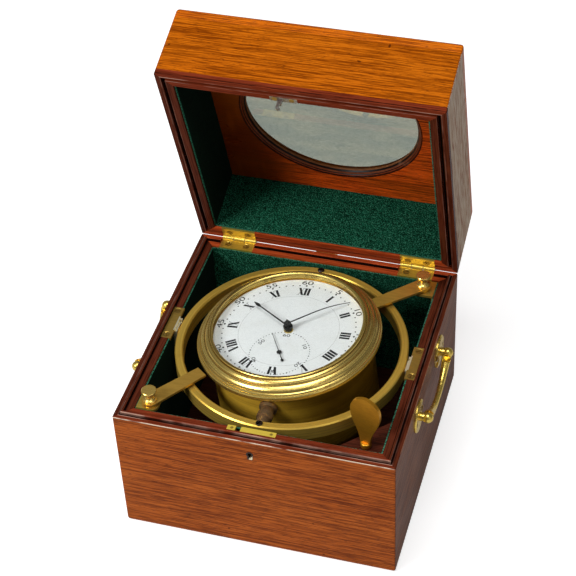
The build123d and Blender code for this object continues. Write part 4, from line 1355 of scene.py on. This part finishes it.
@dataclass
class Linings(Part):
    """The baize glued round the inside of the base and of the lid.

    Attributes:
        half: Half the clear width between the boards, in mm like the sizes below.
        slack: How far in from the boards the cloth is drawn.
        thickness: Thickness of the cloth.
        corner: Radius of the cloth in the corners.
        lift: How far the cloth waves off the boards.
        lift_cells: Waves per metre.
        fray: How far its cut edges are frayed.
        fray_cells: Frayed places per metre.
        fray_below: How much of that the lower edge has.
        cut: How near to a cut edge the cloth frays.
        base_low: Lower edge of the base's lining.
        base_high: Its upper edge.
        lid_low: Lower edge of the shut lid's lining.
        lid_high: Its upper edge.
    """

    half: float = 81.2
    slack: float = 0.15
    thickness: float = 0.8
    corner: float = 1.4
    lift: float = 0.12
    lift_cells: float = 55.0
    fray: float = 0.35
    fray_cells: float = 420.0
    fray_below: float = 0.2
    cut: float = 0.1
    base_low: float = 9.1
    base_high: float = 99.0
    lid_low: float = 101.5
    lid_high: float = 145.3
    # Both cloths carry painted shade on their side and front walls.
    base_cloth: WoolBaize = WoolBaize("base_baize", soiled=1.0)
    lid_cloth: WoolBaize = WoolBaize("lid_baize", soiled=0.98, edge=LID_RIM + 0.4, on_lid=True)

    @staticmethod
    def rises(cloth: Piece, edge: bpy.types.MeshEdge) -> bool:
        """Whether an edge of the cloth runs up."""
        first, second = (cloth.data.vertices[index].co.z for index in edge.vertices)
        return abs(first - second) > MM

    def band(self, name: str, low: float, high: float) -> Piece:
        """A four-sided band of cloth against the boards.

        Args:
            name: The piece's name.
            low: Its lower edge in mm.
            high: Its upper edge in mm.

        Returns:
            The cloth, before its place.
        """
        inner = (self.half - self.slack) * MM
        bpy.ops.mesh.primitive_cube_add(size=2.0, location=(0.0, 0.0, (low + high) / 2 * MM))
        cloth = Bench.scaled(Bench.called(name), inner, inner, (high - low) / 2 * MM)
        with Bench.editing(cloth, "FACE", lambda face: abs(face.normal.z) > 0.5):
            bpy.ops.mesh.delete(type="ONLY_FACE")
        with Bench.editing(cloth, "EDGE", lambda edge: self.rises(cloth, edge)):
            bpy.ops.mesh.bevel(offset=self.corner * MM, segments=3, affect="EDGES")
            bpy.ops.mesh.select_all(action="SELECT")
            bpy.ops.mesh.subdivide(number_cuts=30)
        self.unevenness(cloth, low, high)
        solid = cloth.modifiers.new("thickness", "SOLIDIFY")
        solid.thickness = self.thickness * MM
        solid.offset = -1.0
        bpy.ops.object.modifier_apply(modifier=solid.name)
        with Bench.editing(cloth):
            bpy.ops.mesh.normals_make_consistent(inside=False)
        bpy.ops.object.shade_smooth_by_angle(angle=math.radians(50))
        return cloth

    def unevenness(self, cloth: Piece, low: float, high: float) -> None:
        """Lets the cloth stand slightly off the boards and frays its cut edges.

        Args:
            cloth: The band of cloth.
            low: Its lower edge in mm.
            high: Its upper edge in mm.
        """
        for vertex in cloth.data.vertices:
            place = vertex.co
            lift = (noise.noise(place * self.lift_cells) + 1.0) * self.lift * MM
            place -= Vector((place.x, place.y, 0.0)).normalized() * lift
            at_top = place.z > (high - self.cut) * MM
            if at_top or place.z < (low + self.cut) * MM:
                fray = noise.noise(place * self.fray_cells) * self.fray * MM
                place.z += fray if at_top else -fray * self.fray_below
            vertex.co = place

    def build(self) -> None:
        """Builds both linings in place of the CAD ones."""
        base = self.band("base_lining", self.base_low, self.base_high)
        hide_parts("base_baize")
        self.finish_piece(base, self.base_cloth, "base", "green_baize")
        lid = self.band("lid_lining", self.lid_low, self.lid_high)
        lid.data.transform(lid_swing())
        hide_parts("lid_baize")
        self.finish_piece(lid, self.lid_cloth, "lid", "green_baize")


@dataclass
class Gimbal(Part):
    """The ring that the bowl swings in, with its pins and screws."""

    ring: LacqueredBrass = LacqueredBrass(
        "gimbal_ring_brass",
        (1.00, 0.67, 0.12),
        (0.55, 0.32, 0.045),
        Turning.RING,
        tarnish=0.25,
        gloss=0.28,
        marks=0.000004,
        metal=0.75,
        rings=0.4,
    )
    bronze: LacqueredBrass = LacqueredBrass(
        "trunnion_bronze", (0.50, 0.33, 0.16), (0.10, 0.05, 0.03), tarnish=0.6, gloss=0.3
    )
    plain: LacqueredBrass = LacqueredBrass("pin_brass", (0.66, 0.42, 0.09), (0.32, 0.18, 0.03), gloss=0.3)
    blued: OldSteel = OldSteel("blued_steel", (0.035, 0.033, 0.040), (0.09, 0.06, 0.04), 0.32)

    def build(self) -> None:
        """Dresses the ring, its pins and its screws."""
        self.dress(self.ring, "gimbal_ring")
        self.dress(self.plain, "ring_pivot_pins", "bowl_pivot_pins")
        self.dress(self.bronze, "bowl_trunnions")
        self.dress(self.blued, "ring_set_screws")


@dataclass
class Watch(Part):
    """The bowl, its bezel and glass, and the movement."""

    # The bowl's right-hand side carries painted shade.
    bowl: LacqueredBrass = LacqueredBrass(
        "bowl_brass",
        (1.00, 0.62, 0.060),
        (0.38, 0.19, 0.018),
        Turning.BOWL,
        tarnish=0.30,
        gloss=0.26,
        marks=0.000004,
        metal=0.35,
        rings=0.45,
        smoked=0.9,
    )
    # The bezel's strong dark rings are partly tarnish and partly painted reflection.
    bezel: LacqueredBrass = LacqueredBrass(
        "bezel_brass",
        (0.90, 0.66, 0.185),
        (0.15, 0.08, 0.016),
        Turning.BOWL,
        tarnish=0.06,
        gloss=0.22,
        marks=0.000003,
        metal=0.9,
        rings=0.8,
    )
    plates: LacqueredBrass = LacqueredBrass(
        "movement_brass", (0.78, 0.60, 0.27), (0.55, 0.38, 0.14), tarnish=0.2
    )
    glass: OldGlass = OldGlass("watch_glass", (0.98, 0.99, 0.985), (0.97, 0.98, 0.97), 0.2, 0.0, 1.06)

    def build(self) -> None:
        """Dresses the bowl, the bezel, the glass and the movement."""
        self.dress(self.bowl, "bowl")
        self.dress(self.bezel, "bezel")
        self.dress(self.plates, "movement")
        self.dress(self.glass, "bezel_glass")


@dataclass(frozen=True)
class Circle:
    """A ring of sixty dots with figures along it, in mm.

    Attributes:
        name: What the names of its pieces start with.
        centre_y: Its centre.
        dot_r: Radius of the ring of dots.
        small: Radius of a usual dot.
        large: Radius of every fifth dot.
        figure_r: Radius of the ring of figures.
        figure_h: Height of the figures.
        wide: How far the figures are stretched sideways.
        every: How many dots lie from one figure to the next.
    """

    name: str
    centre_y: float
    dot_r: float
    small: float
    large: float
    figure_r: float
    figure_h: float
    wide: float
    every: int


@dataclass(frozen=True)
class Letter:
    """A Roman letter about its own middle, in mm.

    Attributes:
        room: The width that it takes in a numeral.
        strokes: Each stroke's width, its place and how far its top is to the right of its foot.
        serifs: Each serif's width and place, and 1 for a serif at the top or -1 at the foot.
    """

    room: float
    strokes: tuple[tuple[float, float, float], ...]
    serifs: tuple[tuple[float, float, int], ...]


@dataclass
class Dial(Part):
    """The enamelled dial, with its painted numerals and tracks.

    Attributes:
        numeral_r: Radius of the middle of the hour numerals, in mm.
        numeral_h: Height of the hour numerals.
        serif_t: Thickness of their serifs.
        chapter_r: Radius of the fine line inside them.
        chapter_w: Width of that line.
        washer_r: Radius of the washer under the hour hand.
        washer_w: Width of the washer.
        washer_t: Thickness of the washer.
        paint: Thickness of the paint.
        minutes: The minute ring.
        seconds: The seconds ring.
    """

    numeral_r: float = 38.3
    numeral_h: float = 6.9
    serif_t: float = 0.16
    chapter_r: float = 33.4
    chapter_w: float = 0.16
    washer_r: float = 2.65
    washer_w: float = 0.8
    washer_t: float = 0.3
    paint: float = 0.03
    minutes: Circle = Circle("minute", 0.0, 44.2, 0.52, 0.72, 47.1, 4.2, 1.55, 5)
    seconds: Circle = Circle("seconds", -21.9, 19.7, 0.34, 0.5, 16.8, 2.7, 1.5, 10)
    enamel: DialEnamel = DialEnamel("dial_enamel", (0.84, 0.86, 0.86), (0.74, 0.75, 0.72))
    ink: DialInk = DialInk("dial_ink", (0.006, 0.006, 0.007), (0.05, 0.05, 0.05))
    faint: DialInk = DialInk("dial_hairline", (0.42, 0.42, 0.41), (0.60, 0.60, 0.58))
    brass: LacqueredBrass = LacqueredBrass(
        "washer_brass", (0.88, 0.66, 0.22), (0.45, 0.30, 0.08), tarnish=0.1
    )

    FONT_SIZE = 1.35
    WORDS = ("I", "II", "III", "IIII", "V", "VI", "VII", "VIII", "IX", "X", "XI", "XII")
    BOLD = 1.6
    HAIR = 0.26
    LETTERS = {
        "I": Letter(2.2, ((BOLD, 0.0, 0.0),), ((2.3, 0.0, 1), (2.3, 0.0, -1))),
        "V": Letter(3.9, ((BOLD, -0.75, -1.9), (HAIR, 0.75, 1.6)), ((2.1, -1.6, 1), (1.2, 1.6, 1))),
        "X": Letter(
            4.0,
            ((BOLD, 0.0, -2.8), (HAIR, 0.0, 2.8)),
            ((1.9, -1.4, 1), (1.9, 1.4, 1), (1.9, -1.4, -1), (1.9, 1.4, -1)),
        ),
    }

    def letter(self, name: str) -> Piece:
        """A letter drawn level.

        Args:
            name: The letter.

        Returns:
            One piece.
        """
        shape = self.LETTERS[name]
        pieces = []
        for width, x, lean in shape.strokes:
            pieces.append(Bench.plate(width, self.numeral_h, x))
            for vertex in pieces[-1].data.vertices:
                vertex.co.x += lean * vertex.co.y / self.numeral_h
        height = (self.numeral_h - self.serif_t) / 2
        pieces += [Bench.plate(width, self.serif_t, x, end * height) for width, x, end in shape.serifs]
        return Bench.join(f"letter_{name}", pieces)

    @staticmethod
    def around(turn: float, radius: float, centre_y: float = 0.0) -> Matrix:
        """The place of something drawn upright at the origin, set on a circle with its foot inwards.

        Args:
            turn: Degrees clockwise from the top.
            radius: The circle's radius in mm.
            centre_y: The circle's centre in mm.

        Returns:
            The place in metres.
        """
        centre = Matrix.Translation((0.0, centre_y * MM, 0.0))
        swing = Matrix.Rotation(-math.radians(turn), 4, "Z")
        return centre @ swing @ Matrix.Translation((0.0, radius * MM, 0.0))

    def hour_numerals(self) -> Piece:
        """The twelve hours, each set round the dial.

        Returns:
            One piece.
        """
        patterns = {name: self.letter(name) for name in self.LETTERS}
        placed = []
        for hour, word in enumerate(self.WORDS, start=1):
            x = -sum(self.LETTERS[name].room for name in word) / 2
            for name in word:
                half = self.LETTERS[name].room / 2
                shift = Matrix.Translation(((x + half) * MM, 0.0, 0.0))
                place = self.around(5 * DEGREES * hour, self.numeral_r) @ shift
                placed.append(Bench.copy(patterns[name], place))
                x += 2 * half
        Bench.drop(*patterns.values())
        return Bench.join("hour_numerals", placed)

    def dots(self, circle: Circle) -> Piece:
        """The dots of a ring, every fifth one larger.

        Args:
            circle: The ring.

        Returns:
            One piece.
        """
        patterns = []
        for size in (circle.large, circle.small):
            bpy.ops.mesh.primitive_circle_add(vertices=8, radius=size * MM, fill_type="NGON")
            patterns.append(bpy.context.object)
            with Bench.editing(patterns[-1]):
                bpy.ops.mesh.inset(thickness=size * 0.3 * MM, depth=size * 0.05 * MM)
        placed = []
        for minute in range(60):
            place = self.around(DEGREES * minute, circle.dot_r, circle.centre_y)
            placed.append(Bench.copy(patterns[min(minute % 5, 1)], place))
        Bench.drop(*patterns)
        return Bench.join(f"{circle.name}_track", placed)

    def figures(self, circle: Circle) -> Piece:
        """The figures along a ring.

        Args:
            circle: The ring.

        Returns:
            One piece.
        """
        placed = []
        for number in range(circle.every, 61, circle.every):
            bpy.ops.object.text_add()
            words = bpy.context.object.data
            words.body = str(number)
            words.align_x = "CENTER"
            words.align_y = "CENTER"
            words.size = circle.figure_h * self.FONT_SIZE * MM
            words.resolution_u = 3
            words.space_character = 0.95
            bpy.ops.object.convert(target="MESH")
            piece = Bench.scaled(bpy.context.object, circle.wide, 1.0, 1.0)
            piece.data.transform(self.around(DEGREES * number, circle.figure_r, circle.centre_y))
            placed.append(piece)
        return Bench.join(f"{circle.name}_figures", placed)

    @staticmethod
    def hairline(name: str, radius: float, width: float) -> Piece:
        """A fine circle.

        Args:
            name: The piece's name.
            radius: Its radius.
            width: Its width.

        Returns:
            The circle.
        """
        inner, outer = radius - width / 2, radius + width / 2
        bpy.ops.mesh.primitive_circle_add(vertices=96, radius=inner * MM, fill_type="NOTHING")
        piece = Bench.called(name)
        with Bench.editing(piece):
            bpy.ops.mesh.extrude_edges_move()
            bpy.ops.transform.resize(value=(outer / inner, outer / inner, 1.0))
        return piece

    def set_on_dial(self, piece: Piece, finish: DialInk) -> None:
        """Gives paint its thickness, its place on the dial and its finish.

        Args:
            piece: The painted piece, drawn level.
            finish: Its ink.
        """
        Bench.thicken(piece, self.paint)
        piece.data.transform(dial_place())
        self.finish_piece(piece, finish, "bowl", "dial_enamel")

    def build(self) -> None:
        """Dresses the dial and paints it."""
        self.dress(self.enamel, "dial")
        self.set_on_dial(self.hour_numerals(), self.ink)
        for circle in (self.minutes, self.seconds):
            self.set_on_dial(self.dots(circle), self.ink)
            self.set_on_dial(self.figures(circle), self.ink)
        self.set_on_dial(self.hairline("chapter_line", self.chapter_r, self.chapter_w), self.faint)
        washer = self.hairline("hub_washer", self.washer_r, self.washer_w)
        Bench.thicken(washer, self.washer_t)
        washer.data.transform(dial_place())
        self.finish_piece(washer, self.brass, "bowl", "movement_brass")


@dataclass
class Hands(Part):
    """The hour, minute and seconds hands."""

    steel: OldSteel = OldSteel("hand_steel", (0.010, 0.010, 0.010), (0.022, 0.022, 0.020), 0.42, 0.35)

    def build(self) -> None:
        """Dresses the hands."""
        self.dress(self.steel, "hour_hand", "minute_hand", "seconds_hand")


@dataclass
class LockArms(Part):
    """The two arms that steady the bowl, and their thumb nuts."""

    brass: LacqueredBrass = LacqueredBrass(
        "arm_brass", (0.74, 0.45, 0.085), (0.40, 0.21, 0.035), tarnish=0.3, gloss=0.28, metal=0.75
    )
    polished: LacqueredBrass = LacqueredBrass(
        "nut_brass", (0.90, 0.62, 0.16), (0.40, 0.22, 0.04), tarnish=0.15, gloss=0.22, metal=0.85
    )

    def build(self) -> None:
        """Dresses the arms and the nuts."""
        self.dress(self.brass, "arm_left", "arm_right")
        self.dress(self.polished, "thumb_nut_left", "thumb_nut_right")


@dataclass
class Handles(Part):
    """The folding handles on the two sides."""

    brass: LacqueredBrass = LacqueredBrass(
        "handle_brass", (0.88, 0.64, 0.14), (0.40, 0.26, 0.05), tarnish=0.35, gloss=0.22, metal=0.9
    )

    def build(self) -> None:
        """Dresses the plates, the bails and the screws."""
        self.dress(self.brass, "handle_plates_left", "handle_plates_right", "bail_left", "bail_right")
        self.dress(CaseBase.screws, "handle_screws")


@dataclass
class KeyCorner(Part):
    """The winding key in its corner block."""

    brass: LacqueredBrass = LacqueredBrass(
        "key_brass", (0.62, 0.30, 0.025), (0.32, 0.13, 0.010), tarnish=0.35, gloss=0.28, metal=0.75
    )

    def build(self) -> None:
        """Dresses the key."""
        self.dress(self.brass, "winding_key")


@dataclass
class Studio:
    """The camera, the pale floor and the soft lights.

    Attributes:
        camera_place: Where the camera stands, in mm.
        right: The camera's right direction.
        up: The camera's up direction.
        back: The direction from the object to the camera.
        lens: The focal length for a 36 mm wide frame.
        ambient: The white background's strength as a light on the object.
        glow: How strongly the floor glows for the camera.
        lamps: Each light's name, its place and side in metres, and its power in watts.
    """

    camera_place: Place = (249.94, -768.41, 878.83)
    right: Place = (0.9606, 0.2751, -0.0399)
    up: Place = (-0.1563, 0.6533, 0.7408)
    back: Place = (0.2298, -0.7054, 0.6706)
    lens: float = 106.65
    ambient: float = 0.14
    glow: float = 0.62
    lamps: tuple[tuple[str, Place, float, float], ...] = (
        ("key_light", (-0.95, -0.95, 1.15), 0.6, 19.3),
        ("fill_light", (1.2, -0.8, 0.9), 1.0, 2.0),
        ("top_light", (0.05, -0.30, 1.55), 0.8, 11.5),
    )

    def camera(self) -> None:
        """Makes the camera at the photograph's viewing angle."""
        data = bpy.data.cameras.new("camera")
        data.sensor_width = 36.0
        data.sensor_fit = "HORIZONTAL"
        data.lens = self.lens
        data.clip_start = 0.05
        data.clip_end = 20.0
        camera = bpy.data.objects.new("camera", data)
        bpy.context.scene.collection.objects.link(camera)
        place = Matrix((self.right, self.up, self.back)).transposed().to_4x4()
        place.translation = Vector(self.camera_place) * MM
        camera.matrix_world = place
        bpy.context.scene.camera = camera

    def world(self) -> None:
        """Makes a white background whose light on the object is gentler."""
        world = bpy.data.worlds.new("studio")
        bpy.context.scene.world = world
        graph = Graph(world)
        lit = graph.put("ShaderNodeBackground", 0, {"Color": WHITE, "Strength": self.ambient})
        seen = graph.put("ShaderNodeBackground", 0, {"Color": WHITE, "Strength": 1.0})
        graph.done(graph.mix(graph.rays("Camera", "Transmission"), lit, seen))

    def floor(self) -> None:
        """Makes the pale floor, white where nothing shades it."""
        bpy.ops.mesh.primitive_plane_add(size=12.0, location=(0.0, 0.0, -0.2 * MM))
        floor = bpy.context.object
        floor.name = "floor"
        graph = Graph(bpy.data.materials.new("floor_white"))
        matt = graph.put("ShaderNodeBsdfDiffuse", 0, {"Color": (0.80, 0.80, 0.80)})
        glow = graph.put("ShaderNodeEmission", 0, {"Color": WHITE, "Strength": self.glow})
        dark = graph.put("ShaderNodeEmission", 0, {"Strength": 0.0})
        glowing = graph.mix(graph.rays("Camera", "Transmission"), dark, glow)
        both = graph.put("ShaderNodeAddShader", 0, {0: matt, 1: glowing})
        floor.data.materials.append(graph.done(both))

    def lights(self) -> None:
        """Hangs square soft lights that point at the box and sets the view transform."""
        for name, place, side, power in self.lamps:
            data = bpy.data.lights.new(name, "AREA")
            data.size = side
            data.energy = power
            lamp = bpy.data.objects.new(name, data)
            bpy.context.scene.collection.objects.link(lamp)
            toward = Vector((0.0, 0.0, 0.08)) - Vector(place)
            lamp.rotation_euler = toward.to_track_quat("-Z", "Y").to_euler()
            lamp.location = place
        bpy.context.scene.view_settings.view_transform = "Standard"


def main() -> None:
    """Builds the scene, one sub-assembly after another."""
    logging.basicConfig(level=logging.INFO, format="%(name)s: %(message)s")
    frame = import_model()
    studio = Studio()
    studio.camera()
    for part in (CaseBase, CaseLid, Linings, Gimbal, Watch, Dial, Hands, LockArms, Handles, KeyCorner):
        part(frame["nodes"]).build()
        LOG.info("%s is done", part.__name__)
    studio.floor()
    studio.world()
    studio.lights()


if __name__ == "__main__":
    main()
